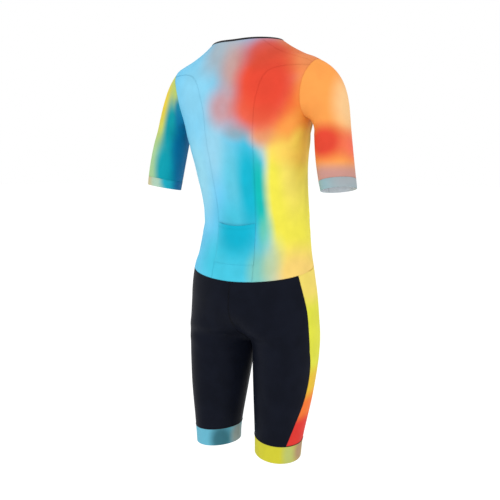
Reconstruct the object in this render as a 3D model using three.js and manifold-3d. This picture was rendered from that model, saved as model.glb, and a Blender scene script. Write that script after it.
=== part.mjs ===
// A short-sleeved one-piece triathlon suit, in the hollow form that it has when it is worn.
//
// The suit faces -Y and its upright axis is +Z, in millimetres. The wearer's left is at +X.
// Every cut panel is a patch of one figure surface, given a wall and kept apart from its
// neighbours by a seam gap. Heights are counted from the lowest point of the leg hems, and the
// whole suit is then lowered so that the origin lies between the shoulder points.
import * as THREE from "three";
import { mergeVertices } from "three/addons/utils/BufferGeometryUtils.js";
import Module from "manifold-3d";

// Driving sizes
const SHOULDER_HEIGHT = 966;
const SHOULDER_Y = 30;
const CLOTH = 1.6;
const BAND_CLOTH = 2.0;
const SEAM_GAP = 0.3;
const CROTCH_HEIGHT = 276;
const CROTCH_ARCH = 112;
const CROTCH_SOFTNESS = 0.75;
const CROTCH_ROUNDING = 24;
const WAIST_SEAM = { back: 445, front: 490, curve: 0.8 };
const LEG_BAND = 44;
const LEG_HEM_RISE = 10;
const SLEEVE_BAND = 22;
const NECK = { halfWidth: 94, halfDepth: 66, centreY: 15 };
const COLLAR = { height: 8, cloth: 2.4, proud: 0.5 };
const POCKET = { bottomRow: 1.5, topRow: 5.2, hemShare: 0.1, dip: 7, standOff: 0.9, gape: 2.4 };

// Sections of the figure that the cloth lies on. Level is height up to the shoulder point, and
// above it the distance walked up the shoulder slope. Outer is half the width, inner is half the
// gap between the thighs, front and back are the depths from the middle line, middle is that
// line's Y, and power is the section's superellipse exponent.
const SECTIONS = [
  { level: 0, height: 0, outer: 145, inner: 30, front: 61, back: 61, middle: 17, power: 2 },
  { level: 45, height: 45, outer: 149, inner: 29, front: 65, back: 64, middle: 15, power: 2 },
  { level: 150, height: 150, outer: 165, inner: 17.5, front: 82, back: 81, middle: 0, power: 2 },
  { level: 230, height: 230, outer: 172, inner: 6.5, front: 94, back: 94, middle: -12, power: 2 },
  { level: 276, height: 276, outer: 173, inner: 0, front: 99, back: 101, middle: -17, power: 2 },
  { level: 330, height: 330, outer: 172, inner: 0, front: 103, back: 115, middle: -19, power: 2.05 },
  { level: 389, height: 389, outer: 171, inner: 0, front: 104, back: 125, middle: -17, power: 2.1 },
  { level: 462, height: 462, outer: 162, inner: 0, front: 101, back: 108, middle: -12, power: 2.15 },
  { level: 512, height: 512, outer: 150, inner: 0, front: 102, back: 100, middle: -18, power: 2.15 },
  { level: 598, height: 598, outer: 138, inner: 0, front: 107, back: 98, middle: -24, power: 2.2 },
  { level: 708, height: 708, outer: 146, inner: 0, front: 108, back: 88, middle: 5, power: 2.2 },
  { level: 782, height: 782, outer: 158, inner: 0, front: 118, back: 86, middle: 22, power: 2.25 },
  { level: 830, height: 830, outer: 168, inner: 0, front: 118, back: 83, middle: 27, power: 2.3 },
  { level: 880, height: 880, outer: 185, inner: 0, front: 110, back: 81, middle: 30, power: 2.35 },
  { level: 925, height: 924, outer: 196, inner: 0, front: 98, back: 77, middle: 31, power: 2.25 },
  { level: 955, height: 949, outer: 196, inner: 0, front: 84, back: 74, middle: 24, power: 2.1 },
  { level: 985, height: 961, outer: 181, inner: 0, front: 71, back: 73, middle: 20, power: 2 },
  { level: 1020, height: 973, outer: 152, inner: 0, front: 57, back: 71, middle: 18, power: 2 },
  { level: 1060, height: 992, outer: 117, inner: 0, front: 40, back: 68, middle: 15, power: 2 },
  { level: 1090, height: 1009, outer: 92, inner: 0, front: 25, back: 67, middle: 13, power: 2 },
  { level: 1115, height: 1022, outer: 76, inner: 0, front: 20, back: 66, middle: 10, power: 2 },
];

// Seams of the back, as distance from the centre back and height
const PRINCESS_SEAM = [
  { across: 57, level: 445 },
  { across: 52, level: 581 },
  { across: 59, level: 708 },
  { across: 65, level: 800 },
  { across: 74, level: 870 },
  { across: 94, level: 921 },
  { across: 130, level: 939 },
];

// The armhole in the figure's chart: turn 0 is the shoulder point, 90 the back, 180 the underarm
const ARMHOLE = { middleLevel: 897, halfHeight: 71, backWidth: 29, frontWidth: 26 };
const SHOULDER_SEAM = { armholeTurn: 42, middleAngle: 125, middleLevel: 984, neckAngle: 137 };
const PRINCESS_TURN = 51;
const BACK_ARCH = 26;
const SIDE_SEAM = { armholeTurn: 205, middleAngle: 74, middleLevel: 650, waistAngle: 72 };

// Edges of the coloured side panel of the shorts, as chart angles
const SIDE_PANEL = [
  { level: 44, back: 112, front: 64 },
  { level: 90, back: 106, front: 70 },
  { level: 160, back: 98, front: 74 },
  { level: 230, back: 96, front: 73 },
  { level: 320, back: 101, front: 70 },
  { level: 400, back: 107.5, front: 66 },
  { level: 475, back: 114, front: 62 },
];

// The sleeve: rings round the arm, from under the cap to the hem
const ARM_RINGS = [
  { x: 223, y: 17, z: 800, side: 39, depth: 51 },
  { x: 234, y: 28, z: 732, side: 40, depth: 54 },
  { x: 246, y: 31, z: 665, side: 38, depth: 53 },
];
const SLEEVE_OUT = new THREE.Vector3(0.88, -0.4, -0.26);
const SLEEVE_OUT_SHARE = 0.55;
const SLEEVE_FULLNESS = { top: 240, bottom: 26, endTop: 125, endBottom: 26 };

// The front zip: tape, coils, slider and the pull tab that hangs on the slider's pin
const ZIP = { halfWidth: 6, tapeCloth: 1, coilHalfWidth: 2.4, coilHeight: 1.2, standOff: 0.3 };
const SLIDER = { width: 8.6, length: 12, depth: 2, ear: 1.2, pinRadius: 0.8, pinRise: 2.6 };
const PULL = { ring: 2.1, hole: 1.15, ringWidth: 2.8, neck: 4.5, length: 22, width: 7, depth: 1.4 };
const PULL_CORNER = 2.6;
const PULL_LEAN = THREE.MathUtils.degToRad(12);

// Mesh steps along each seam, shared by the two panels that meet there
const STEPS = {
  side: 20,
  armBack: 10,
  armFront: 12,
  armTop: 2,
  shoulder: 8,
  backWidth: 8,
  neckFront: 7,
  sleeveCap: 6,
  legRows: 7,
  seatRows: 10,
  shorts: 10,
  sidePanel: 4,
  pocketRows: 5,
};
const SEAT_ROW_CROWDING = 1.6;

const RADIAN = Math.PI / 180;

// Reads one column of the sections at any level, along a smooth curve through the rows
function column(name, level) {
  const last = SECTIONS.length - 1;
  const next = SECTIONS.findIndex((row) => row.level > level);
  const k = next === -1 ? last - 1 : Math.max(0, next - 1);
  const slope = (i) => {
    const a = SECTIONS[Math.max(0, i - 1)];
    const b = SECTIONS[Math.min(last, i + 1)];
    return (b[name] - a[name]) / (b.level - a.level);
  };
  const low = SECTIONS[k];
  const high = SECTIONS[k + 1];
  const span = high.level - low.level;
  const u = (level - low.level) / span;
  const bend = u * u * (3 - 2 * u);
  const rise = span * (u * (1 - u) ** 2 * slope(k) - u * u * (1 - u) * slope(k + 1));
  return low[name] * (1 - bend) + high[name] * bend + rise;
}

const signedPower = (value, power) => Math.sign(value) * Math.abs(value) ** power;

// A point of the figure. Angle runs from 0 at the centre front over 90 at the wearer's left side
// to 180 at the centre back. Below the crotch it runs round the left leg, from the inseam to the
// inseam. Past 0 and 180 it goes on to the other half, or round the same leg.
function figure(angle, level) {
  if (angle < 0 || angle > 180) {
    if (level < CROTCH_HEIGHT) return figure(angle < 0 ? angle + 180 : angle - 180, level);
    const other = figure(angle < 0 ? -angle : 360 - angle, level);
    return other.setX(-other.x);
  }
  const power = column("power", level);
  const height = column("height", level);
  const above = Math.min(1, Math.max(0, (height - CROTCH_HEIGHT) / CROTCH_ARCH));
  const share = 1 - THREE.MathUtils.lerp(above, above * above * (3 - 2 * above), CROTCH_SOFTNESS);
  const rounding = CROTCH_ROUNDING * share;
  const reach = Math.hypot(column("outer", level), rounding);
  const parted = Math.hypot(Math.max(0, column("inner", level)), rounding);
  const centre = above > 0 ? (rounding + share * reach) / (1 + share) : (reach + parted) / 2;
  const radius = reach - centre;
  const halfTurn = 90 + Math.asin(share ** (power / 2)) / RADIAN;
  const turn = (90 + ((angle - 90) * halfTurn) / 90) * RADIAN;
  const across = centre + radius * signedPower(Math.sin(turn), 2 / power);
  const forward = signedPower(Math.cos(turn), 2 / power);
  return new THREE.Vector3(
    Math.sqrt(Math.max(0, across ** 2 - rounding ** 2)),
    column("middle", level) - forward * column(forward > 0 ? "front" : "back", level),
    height,
  );
}

function figureNormal(angle, level) {
  const d = 0.5;
  if (angle % 180 === 0 && Math.abs(level - CROTCH_HEIGHT) < d) return new THREE.Vector3(0, 0, -1);
  const around = figure(angle + d, level).sub(figure(angle - d, level));
  const up = figure(angle, level + d).sub(figure(angle, level - d));
  return around.cross(up).normalize();
}

const chart = (angle, level) => new THREE.Vector2(angle, level);
const toFigure = (c) => figure(c.x, c.y);

// The chart angle of the point that lies the given distance from the mid-plane
function angleAcross(across, level, side) {
  const share = Math.min(1, across / column("outer", level));
  const turn = Math.asin(share ** (column("power", level) / 2)) / RADIAN;
  return side === "back" ? 180 - turn : turn;
}

function waistLevel(angle) {
  const share = ((1 + Math.cos(angle * RADIAN)) / 2) ** WAIST_SEAM.curve;
  return WAIST_SEAM.back + (WAIST_SEAM.front - WAIST_SEAM.back) * share;
}

// The neck opening is an oval in plan, so its level at an angle is found by halving
function neckLevel(angle) {
  let low = SECTIONS[13].level;
  let high = SECTIONS[20].level;
  while (high - low > 1e-6) {
    const level = (low + high) / 2;
    const p = figure(angle, level);
    const size = (p.x / NECK.halfWidth) ** 2 + ((p.y - NECK.centreY) / NECK.halfDepth) ** 2;
    if (size < 1) high = level;
    else low = level;
  }
  return low;
}

function armholeChart(turn) {
  const around = Math.sin(turn * RADIAN);
  const width = around > 0 ? ARMHOLE.backWidth : ARMHOLE.frontWidth;
  return chart(
    90 + width * around,
    ARMHOLE.middleLevel + ARMHOLE.halfHeight * Math.cos(turn * RADIAN),
  );
}

const steps = (from, to, count) =>
  Array.from({ length: count + 1 }, (_, i) => from + ((to - from) * i) / count);
const spaced = (points, count) => new THREE.SplineCurve(points).getSpacedPoints(count);
const joined = (...paths) => paths.flatMap((path, i) => (i ? path.slice(1) : path));
const reversed = (path) => [...path].reverse();
const waistPath = (from, to, count) => steps(from, to, count).map((a) => chart(a, waistLevel(a)));
const neckPath = (from, to, count) => steps(from, to, count).map((a) => chart(a, neckLevel(a)));
const mirroredPath = (path) => path.map((p) => chart(360 - p.x, p.y));

// Seams of the left half, in the chart
const armTopTurns = steps(PRINCESS_TURN, SHOULDER_SEAM.armholeTurn, STEPS.armTop);
const armBackTurns = steps(SIDE_SEAM.armholeTurn, PRINCESS_TURN, STEPS.armBack);
const armFrontTurns = steps(SIDE_SEAM.armholeTurn, 360 + SHOULDER_SEAM.armholeTurn, STEPS.armFront);
const princessChart = PRINCESS_SEAM.map((p) => chart(angleAcross(p.across, p.level, "back"), p.level));
princessChart[0].y = waistLevel(princessChart[0].x);
const princess = spaced([...princessChart, armholeChart(PRINCESS_TURN)], STEPS.side);
const sideSeam = spaced(
  [
    chart(SIDE_SEAM.waistAngle, waistLevel(SIDE_SEAM.waistAngle)),
    chart(SIDE_SEAM.middleAngle, SIDE_SEAM.middleLevel),
    armholeChart(SIDE_SEAM.armholeTurn),
  ],
  STEPS.side,
);
const shoulderSeam = spaced(
  [
    armholeChart(SHOULDER_SEAM.armholeTurn),
    chart(SHOULDER_SEAM.middleAngle, SHOULDER_SEAM.middleLevel),
    chart(SHOULDER_SEAM.neckAngle, neckLevel(SHOULDER_SEAM.neckAngle)),
  ],
  STEPS.shoulder,
);

// A grid of chart points filled in between four edges, each row running from left to right
function filled(bottom, top, left, right) {
  const across = bottom.length - 1;
  const up = left.length - 1;
  return left.map((start, j) =>
    bottom.map((low, i) => {
      const u = i / across;
      const v = j / up;
      const p = low.clone().multiplyScalar(1 - v);
      p.addScaledVector(top[i], v).addScaledVector(start, 1 - u).addScaledVector(right[j], u);
      p.addScaledVector(bottom[0], (u - 1) * (1 - v)).addScaledVector(bottom[across], u * (v - 1));
      return p.addScaledVector(top[0], (u - 1) * v).addScaledVector(top[across], -u * v);
    }),
  );
}

// Moves each edge vertex of a grid inwards by half the seam gap, square to the edge
function inset(points) {
  const up = points.length - 1;
  const across = points[0].length - 1;
  const moved = points.map((row) => row.map((p) => p.clone()));
  const shift = (j, i, inner, before, after) => {
    const along = after.clone().sub(before).normalize();
    const inward = inner.clone().sub(points[j][i]);
    inward.addScaledVector(along, -inward.dot(along)).normalize();
    moved[j][i].addScaledVector(inward, SEAM_GAP / 2);
  };
  for (let j = 0; j <= up; j += 1) {
    const before = points[Math.max(0, j - 1)];
    const after = points[Math.min(up, j + 1)];
    shift(j, 0, points[j][1], before[0], after[0]);
    shift(j, across, points[j][across - 1], before[across], after[across]);
  }
  for (let i = 0; i <= across; i += 1) {
    const before = Math.max(0, i - 1);
    const after = Math.min(across, i + 1);
    shift(0, i, points[1][i], points[0][before], points[0][after]);
    shift(up, i, points[up - 1][i], points[up][before], points[up][after]);
  }
  return moved;
}

// A closed wall between two grids of points of the same size
function wall(outer, inner) {
  const up = outer.length - 1;
  const across = outer[0].length - 1;
  const positions = [];
  const triangle = (...corners) => corners.forEach((p) => positions.push(p.x, p.y, p.z));
  const quad = (a, b, c, d) => {
    if (a.distanceTo(c) < b.distanceTo(d)) {
      triangle(a, b, c);
      triangle(a, c, d);
    } else {
      triangle(a, b, d);
      triangle(b, c, d);
    }
  };
  for (let j = 0; j < up; j += 1) {
    for (let i = 0; i < across; i += 1) {
      quad(outer[j][i], outer[j][i + 1], outer[j + 1][i + 1], outer[j + 1][i]);
      quad(inner[j][i], inner[j + 1][i], inner[j + 1][i + 1], inner[j][i + 1]);
    }
    quad(outer[j][0], outer[j + 1][0], inner[j + 1][0], inner[j][0]);
    quad(outer[j][across], inner[j][across], inner[j + 1][across], outer[j + 1][across]);
  }
  for (let i = 0; i < across; i += 1) {
    quad(outer[0][i], inner[0][i], inner[0][i + 1], outer[0][i + 1]);
    quad(outer[up][i], outer[up][i + 1], inner[up][i + 1], inner[up][i]);
  }
  const geometry = new THREE.BufferGeometry();
  geometry.setAttribute("position", new THREE.Float32BufferAttribute(positions, 3));
  geometry.computeVertexNormals();
  return geometry;
}

// The other half's copy, with the corners of each triangle in the opposite order
function mirrored(geometry) {
  const corners = geometry.getAttribute("position");
  const positions = [];
  for (let i = 0; i < corners.count; i += 3) {
    [i, i + 2, i + 1].forEach((k) => positions.push(-corners.getX(k), corners.getY(k), corners.getZ(k)));
  }
  const copy = new THREE.BufferGeometry();
  copy.setAttribute("position", new THREE.Float32BufferAttribute(positions, 3));
  copy.computeVertexNormals();
  return copy;
}

// A wall on a grid of points, lifted off it by a distance that may differ from place to place
function sheet(points, normals, cloth, lift = () => 0) {
  const seamed = inset(points);
  const at = (depth) =>
    seamed.map((row, j) => row.map((p, i) => p.clone().addScaledVector(normals[j][i], lift(j, i) + depth)));
  return wall(at(0), at(-cloth));
}

// The sleeve's surface: a cap that leaves the armhole and turns into the rings round the arm
function armRing(ring, turn) {
  const first = ARM_RINGS[0];
  const last = ARM_RINGS[ARM_RINGS.length - 1];
  const down = new THREE.Vector3(last.x - first.x, last.y - first.y, last.z - first.z).normalize();
  const outward = new THREE.Vector3(1, 0, 0).addScaledVector(down, -down.x).normalize();
  const backward = new THREE.Vector3(0, 1, 0).addScaledVector(down, -down.y).normalize();
  return new THREE.Vector3(ring.x, ring.y, ring.z)
    .addScaledVector(outward, ring.side * Math.cos(turn * RADIAN))
    .addScaledVector(backward, ring.depth * Math.sin(turn * RADIAN));
}

const armholePoint = (turn) => toFigure(armholeChart(turn));
const armholeAlong = (turn) => armholePoint(turn + 1).sub(armholePoint(turn - 1)).normalize();

// The direction in which the sleeve leaves the armhole
function sleeveStart(turn) {
  const c = armholeChart(turn);
  const inSurface = armholeAlong(turn).cross(figureNormal(c.x, c.y));
  const down = (1 - Math.cos(turn * RADIAN)) / 2;
  const share = SLEEVE_OUT_SHARE + (1 - SLEEVE_OUT_SHARE) * down;
  return inSurface.multiplyScalar(1 - share).addScaledVector(SLEEVE_OUT, share).normalize();
}

function capPoint(turn, u) {
  const down = (1 - Math.cos(turn * RADIAN)) / 2;
  const start = SLEEVE_FULLNESS.top + (SLEEVE_FULLNESS.bottom - SLEEVE_FULLNESS.top) * down;
  const end = SLEEVE_FULLNESS.endTop + (SLEEVE_FULLNESS.endBottom - SLEEVE_FULLNESS.endTop) * down;
  const target = armRing(ARM_RINGS[0], turn);
  const drop = armRing(ARM_RINGS[1], turn).sub(target).normalize();
  const bend = u * u * (3 - 2 * u);
  return armholePoint(turn)
    .multiplyScalar(1 - bend)
    .addScaledVector(target, bend)
    .addScaledVector(sleeveStart(turn), start * u * (1 - u) ** 2)
    .addScaledVector(drop, -end * u * u * (1 - u));
}

// Where sleeve and bodice meet, both walls end on the plane that halves the angle between them
function armholeNormal(turn) {
  const c = armholeChart(turn);
  const sleeveSide = sleeveStart(turn).cross(armholeAlong(turn)).normalize();
  return figureNormal(c.x, c.y).add(sleeveSide).normalize();
}

const sleeveTurns = joined(
  armFrontTurns.map((turn) => turn - 360),
  reversed(armTopTurns),
  reversed(armBackTurns),
);
const armholeRim = sleeveTurns.map((turn) => ({ point: armholePoint(turn), normal: armholeNormal(turn) }));

// The direction in which a panel's wall is thickened, on either half of the suit
function panelNormal(c) {
  if (c.x > 180) return panelNormal(chart(360 - c.x, c.y)).clone().multiply(new THREE.Vector3(-1, 1, 1));
  const point = toFigure(c);
  const rim = armholeRim.find((r) => r.point.distanceTo(point) < 0.01);
  return rim ? rim.normal : figureNormal(c.x, c.y);
}

// A cut panel of the figure, from its chart grid
function figurePanel(grid, cloth = CLOTH, lift = () => 0) {
  const points = grid.map((row) => row.map(toFigure));
  const normals = grid.map((row) => row.map(panelNormal));
  return sheet(points, normals, cloth, lift);
}

const FINISH = {
  blue: { color: 0x5fc6e8, roughness: 0.72 },
  teal: { color: 0x12a9b5, roughness: 0.72 },
  orange: { color: 0xf9a04b, roughness: 0.72 },
  yellow: { color: 0xf2e84a, roughness: 0.72 },
  black: { color: 0x1b1d27, roughness: 0.62 },
  bandBlue: { color: 0x5fb4cb, roughness: 0.7 },
  bandYellow: { color: 0xd9d431, roughness: 0.7 },
  zip: { color: 0x111214, roughness: 0.5 },
  pull: { color: 0x1d1f22, roughness: 0.4 },
};

const suit = new THREE.Group();
suit.position.set(0, -SHOULDER_Y, -SHOULDER_HEIGHT);

function piece(name, geometry, finish) {
  const material = new THREE.MeshStandardMaterial({ ...finish, metalness: 0 });
  const mesh = new THREE.Mesh(geometry, material);
  mesh.name = name;
  suit.add(mesh);
  return mesh;
}

function pair(name, geometry, left, right) {
  piece(`${name}_left`, geometry, left);
  piece(`${name}_right`, mirrored(geometry), right);
}

// Centre back: one panel between the princess seams, up over the blades to the shoulder seams
const backSide = joined(princess, armTopTurns.map(armholeChart), shoulderSeam);
const backGrid = filled(
  waistPath(princess[0].x, 360 - princess[0].x, STEPS.backWidth),
  neckPath(SHOULDER_SEAM.neckAngle, 360 - SHOULDER_SEAM.neckAngle, STEPS.backWidth),
  backSide,
  mirroredPath(backSide),
);

// Its rows arch upwards between the seams, so that none folds where the seam turns outwards
backGrid.forEach((row, j) =>
  row.forEach((p, i) => {
    const across = (2 * i) / STEPS.backWidth - 1;
    p.y += BACK_ARCH * (1 - across ** 2) * Math.sin(Math.PI * (j / (backGrid.length - 1)) ** 2);
  }),
);
piece("back_centre", figurePanel(backGrid), FINISH.blue);

// Side backs, from the side seam round to the princess seam, up to the armhole
const sideBackGrid = filled(
  waistPath(sideSeam[0].x, princess[0].x, STEPS.armBack),
  armBackTurns.map(armholeChart),
  sideSeam,
  princess,
);
pair("back_side", figurePanel(sideBackGrid), FINISH.blue, FINISH.yellow);

// Fronts, from the zip to the side seam and armhole, and over the shoulder to the back
const zipSteps = STEPS.side + STEPS.armFront - STEPS.neckFront;
const zipLevels = steps(waistLevel(0), neckLevel(0), zipSteps);
const zipChart = (across, level) => chart(angleAcross(across, level, "front"), level);
const zipEdge = zipLevels.map((level) => zipChart(ZIP.halfWidth, level));
const neckStart = zipEdge[zipSteps].x;
const frontNeck = neckPath(neckStart, SHOULDER_SEAM.neckAngle, STEPS.neckFront);
const frontGrid = filled(
  waistPath(zipEdge[0].x, sideSeam[0].x, STEPS.shoulder),
  reversed(shoulderSeam),
  joined(zipEdge, frontNeck),
  joined(sideSeam, armFrontTurns.map(armholeChart)),
);
pair("front", figurePanel(frontGrid), FINISH.teal, FINISH.orange);

// Sleeves: the cap and the arm in one panel, closed by an underarm seam, and the hem band
function sleeveWall(rows, cloth, rimNormals) {
  const points = reversed(rows.map((row) => sleeveTurns.map(row)));
  const up = points.length - 1;
  const across = sleeveTurns.length - 1;
  const normals = points.map((row, j) =>
    row.map((_, i) => {
      const before = i === 0 ? row[across - 1] : row[i - 1];
      const after = i === across ? row[1] : row[i + 1];
      const climb = points[Math.min(up, j + 1)][i].clone().sub(points[Math.max(0, j - 1)][i]);
      return after.clone().sub(before).cross(climb).normalize();
    }),
  );
  if (rimNormals) normals[up] = rimNormals;
  return sheet(points, normals, cloth);
}

const hemRing = ARM_RINGS[ARM_RINGS.length - 1];
const elbowRing = ARM_RINGS[ARM_RINGS.length - 2];
const bandShare = 1 - SLEEVE_BAND / Math.hypot(hemRing.x - elbowRing.x, hemRing.z - elbowRing.z);
const bandRing = {};
Object.keys(hemRing).forEach((key) => {
  bandRing[key] = elbowRing[key] + (hemRing[key] - elbowRing[key]) * bandShare;
});
const round = (ring) => (turn) => armRing(ring, turn);
const capRows = steps(0, 1, STEPS.sleeveCap).map((u) => (turn) => capPoint(turn, u));
const sleeveRows = [...capRows, ...ARM_RINGS.slice(1, -1).map(round), round(bandRing)];
const rimNormals = armholeRim.map((rim) => rim.normal);
pair("sleeve", sleeveWall(sleeveRows, CLOTH, rimNormals), FINISH.teal, FINISH.orange);
const sleeveBand = sleeveWall([round(bandRing), round(hemRing)], BAND_CLOTH);
pair("sleeve_band", sleeveBand, FINISH.bandBlue, FINISH.bandBlue);

// Collar: a narrow bound edge round the neck, open at the zip
const backNeck = neckPath(SHOULDER_SEAM.neckAngle, 360 - SHOULDER_SEAM.neckAngle, STEPS.backWidth);
const neckLine = joined(frontNeck, backNeck, reversed(mirroredPath(frontNeck)));
const collarEnd = zipChart(ZIP.halfWidth + COLLAR.proud, neckLevel(0) + COLLAR.height).x;
const collarTop = neckLine.map((c) => {
  const angle = Math.min(360 - collarEnd, Math.max(collarEnd, c.x));
  return chart(angle, c.y + COLLAR.height);
});
piece("collar", figurePanel([neckLine, collarTop], COLLAR.cloth, () => COLLAR.proud), FINISH.black);

// Back pocket: it lies on the centre back from seam to seam, with its mouth a little open
function pocketChart(share, i) {
  const row = POCKET.bottomRow + (POCKET.topRow - POCKET.bottomRow) * share;
  const low = backGrid[Math.floor(row)][i];
  const high = backGrid[Math.floor(row) + 1][i];
  const across = (2 * i) / STEPS.backWidth - 1;
  const point = low.clone().lerp(high, row - Math.floor(row));
  point.y -= POCKET.dip * (1 - across ** 2) * share ** 2;
  return point;
}

function pocketPanel(shares) {
  const grid = shares.map((share) => backGrid[0].map((_, i) => pocketChart(share, i)));
  const lift = (j, i) => {
    const across = (2 * i) / STEPS.backWidth - 1;
    return POCKET.standOff + CLOTH + POCKET.gape * (1 - across ** 2) * shares[j] ** 2;
  };
  return figurePanel(grid, CLOTH, lift);
}
piece("pocket", pocketPanel(steps(0, 1 - POCKET.hemShare, STEPS.pocketRows)), FINISH.teal);
piece("pocket_hem", pocketPanel([1 - POCKET.hemShare, 1]), FINISH.teal);

// Shorts: each leg has a back, a front and a coloured panel down its outer side
const hemLevel = (angle) => LEG_HEM_RISE * Math.cos(angle * RADIAN) ** 2;

function shortsLevel(angle, row) {
  const bottom = hemLevel(angle) + LEG_BAND;
  if (row <= STEPS.legRows) return bottom + ((CROTCH_HEIGHT - bottom) * row) / STEPS.legRows;
  const share = ((row - STEPS.legRows) / STEPS.seatRows) ** SEAT_ROW_CROWDING;
  return CROTCH_HEIGHT + (waistLevel(angle) - CROTCH_HEIGHT) * share;
}

const sidePanelEdge = (side) => {
  const edge = new THREE.SplineCurve(SIDE_PANEL.map((row) => chart(row[side], row.level)));
  const points = edge.getPoints(SIDE_PANEL.length * 20);
  return (level) => {
    const k = Math.max(1, points.findIndex((p) => p.y >= level));
    const share = (level - points[k - 1].y) / (points[k].y - points[k - 1].y);
    return points[k - 1].x + (points[k].x - points[k - 1].x) * share;
  };
};

function shortsGrid(from, to, count) {
  return steps(0, STEPS.legRows + STEPS.seatRows, STEPS.legRows + STEPS.seatRows).map((row) => {
    const level = shortsLevel(90, row);
    return steps(from(level), to(level), count).map((a) => chart(a, shortsLevel(a, row)));
  });
}

const panelBack = sidePanelEdge("back");
const panelFront = sidePanelEdge("front");
const shortsFrontGrid = shortsGrid(() => 0, panelFront, STEPS.shorts);
const sidePanelGrid = shortsGrid(panelFront, panelBack, STEPS.sidePanel);
const shortsBackGrid = shortsGrid(panelBack, () => 180, STEPS.shorts);
pair("shorts_front", figurePanel(shortsFrontGrid), FINISH.black, FINISH.black);
pair("side_panel", figurePanel(sidePanelGrid), FINISH.yellow, FINISH.yellow);
pair("shorts_back", figurePanel(shortsBackGrid), FINISH.black, FINISH.black);

// Leg bands: a wide gripper band round each leg, its ends joined at the inseam
const legBandGrid = steps(0, 1, 2).map((share) => {
  const first = joined(shortsFrontGrid[0], sidePanelGrid[0], shortsBackGrid[0]);
  return first.map((c) => chart(c.x, hemLevel(c.x) + LEG_BAND * share));
});
pair("leg_band", figurePanel(legBandGrid, BAND_CLOTH, () => 0.2), FINISH.bandBlue, FINISH.bandYellow);

// Zip: two tapes up to the top of the collar, and the closed coils lying on them
const tapeLevels = [...zipLevels, neckLevel(0) + COLLAR.height];
const tapeGrid = tapeLevels.map((level) => steps(0, ZIP.halfWidth, 2).map((x) => zipChart(x, level)));
pair("zip_tape", figurePanel(tapeGrid, ZIP.tapeCloth), FINISH.zip, FINISH.zip);
const coilGrid = zipLevels.map((level) => {
  const edge = zipChart(ZIP.coilHalfWidth, level);
  return [chart(-edge.x, level), chart(0, level), edge];
});
const coilLift = ZIP.standOff + ZIP.coilHeight;
piece("zip_coils", figurePanel(coilGrid, ZIP.coilHeight, () => coilLift), FINISH.zip);

// Slider and pull tab, drawn lying on their backs: x across, y up the zip, z out of the cloth
const wasm = await Module();
wasm.setup();

function solid(geometry) {
  ["normal", "uv"].forEach((name) => geometry.deleteAttribute(name));
  const merged = mergeVertices(geometry.index ? geometry.toNonIndexed() : geometry, 1e-4);
  const vertProperties = new Float32Array(merged.getAttribute("position").array);
  const triVerts = new Uint32Array(merged.index.array);
  return new wasm.Manifold(new wasm.Mesh({ numProp: 3, vertProperties, triVerts }));
}

function fused(...geometries) {
  const mesh = geometries.map(solid).reduce((a, b) => a.add(b)).getMesh();
  const geometry = new THREE.BufferGeometry();
  geometry.setAttribute("position", new THREE.BufferAttribute(mesh.vertProperties, 3));
  geometry.setIndex(new THREE.BufferAttribute(mesh.triVerts, 1));
  geometry.computeVertexNormals();
  return geometry;
}

function roundedPlate(width, length, depth, radius) {
  const shape = new THREE.Shape();
  const x = width / 2 - radius;
  const y = length / 2 - radius;
  shape.absarc(x, y, radius, 0, Math.PI / 2);
  shape.absarc(-x, y, radius, Math.PI / 2, Math.PI);
  shape.absarc(-x, -y, radius, Math.PI, 1.5 * Math.PI);
  shape.absarc(x, -y, radius, 1.5 * Math.PI, 2 * Math.PI);
  return new THREE.ExtrudeGeometry(shape, { depth, bevelEnabled: false, curveSegments: 4 });
}

const box = (w, h, d, x, y, z) => new THREE.BoxGeometry(w, h, d).translate(x, y, z);
const sliderFrom = figure(0, zipLevels[zipSteps - 1]);
const sliderTo = figure(0, zipLevels[zipSteps]);
const sliderUp = sliderTo.clone().sub(sliderFrom).normalize();
const sliderOut = new THREE.Vector3(1, 0, 0).cross(sliderUp);
const sliderBase = sliderFrom.lerp(sliderTo, 0.5).addScaledVector(sliderOut, coilLift + ZIP.standOff);
const sliderTilt = Math.atan2(sliderUp.z, sliderUp.y);

function placed(mesh) {
  mesh.position.copy(sliderBase);
  mesh.rotation.x = sliderTilt;
}

const pinHeight = SLIDER.depth + SLIDER.pinRise;
const earAt = PULL.ringWidth / 2 + SEAM_GAP + SLIDER.ear / 2;
const earHeight = pinHeight + SLIDER.pinRadius + 0.5;
const sliderPin = new THREE.CylinderGeometry(SLIDER.pinRadius, SLIDER.pinRadius, 2 * earAt, 12)
  .rotateZ(Math.PI / 2)
  .translate(0, 0, pinHeight);
const sliderParts = [
  roundedPlate(SLIDER.width, SLIDER.length, SLIDER.depth, 2.4),
  box(SLIDER.ear, 2.8, earHeight, earAt, 0, earHeight / 2),
  box(SLIDER.ear, 2.8, earHeight, -earAt, 0, earHeight / 2),
  sliderPin,
];
placed(piece("zip_slider", fused(...sliderParts), FINISH.zip));

const eye = new THREE.Shape().absarc(0, 0, PULL.ring, 0, 2 * Math.PI);
eye.holes.push(new THREE.Path().absarc(0, 0, PULL.hole, 0, 2 * Math.PI, true));
const eyeBar = { depth: PULL.ringWidth, bevelEnabled: false, curveSegments: 8 };
const pullEye = new THREE.ExtrudeGeometry(eye, eyeBar)
  .translate(0, 0, -PULL.ringWidth / 2)
  .rotateY(Math.PI / 2)
  .translate(0, 0, pinHeight);
const neckFrom = (PULL.ring + PULL.hole) / 2;
const neckLength = PULL.neck - neckFrom + 1;
const pullParts = [
  pullEye,
  box(PULL.ringWidth, neckLength, PULL.depth, 0, -neckFrom - neckLength / 2, pinHeight),
  roundedPlate(PULL.width, PULL.length, PULL.depth, PULL_CORNER).translate(
    0,
    -PULL.neck - PULL.length / 2,
    pinHeight - PULL.depth / 2,
  ),
];
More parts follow.
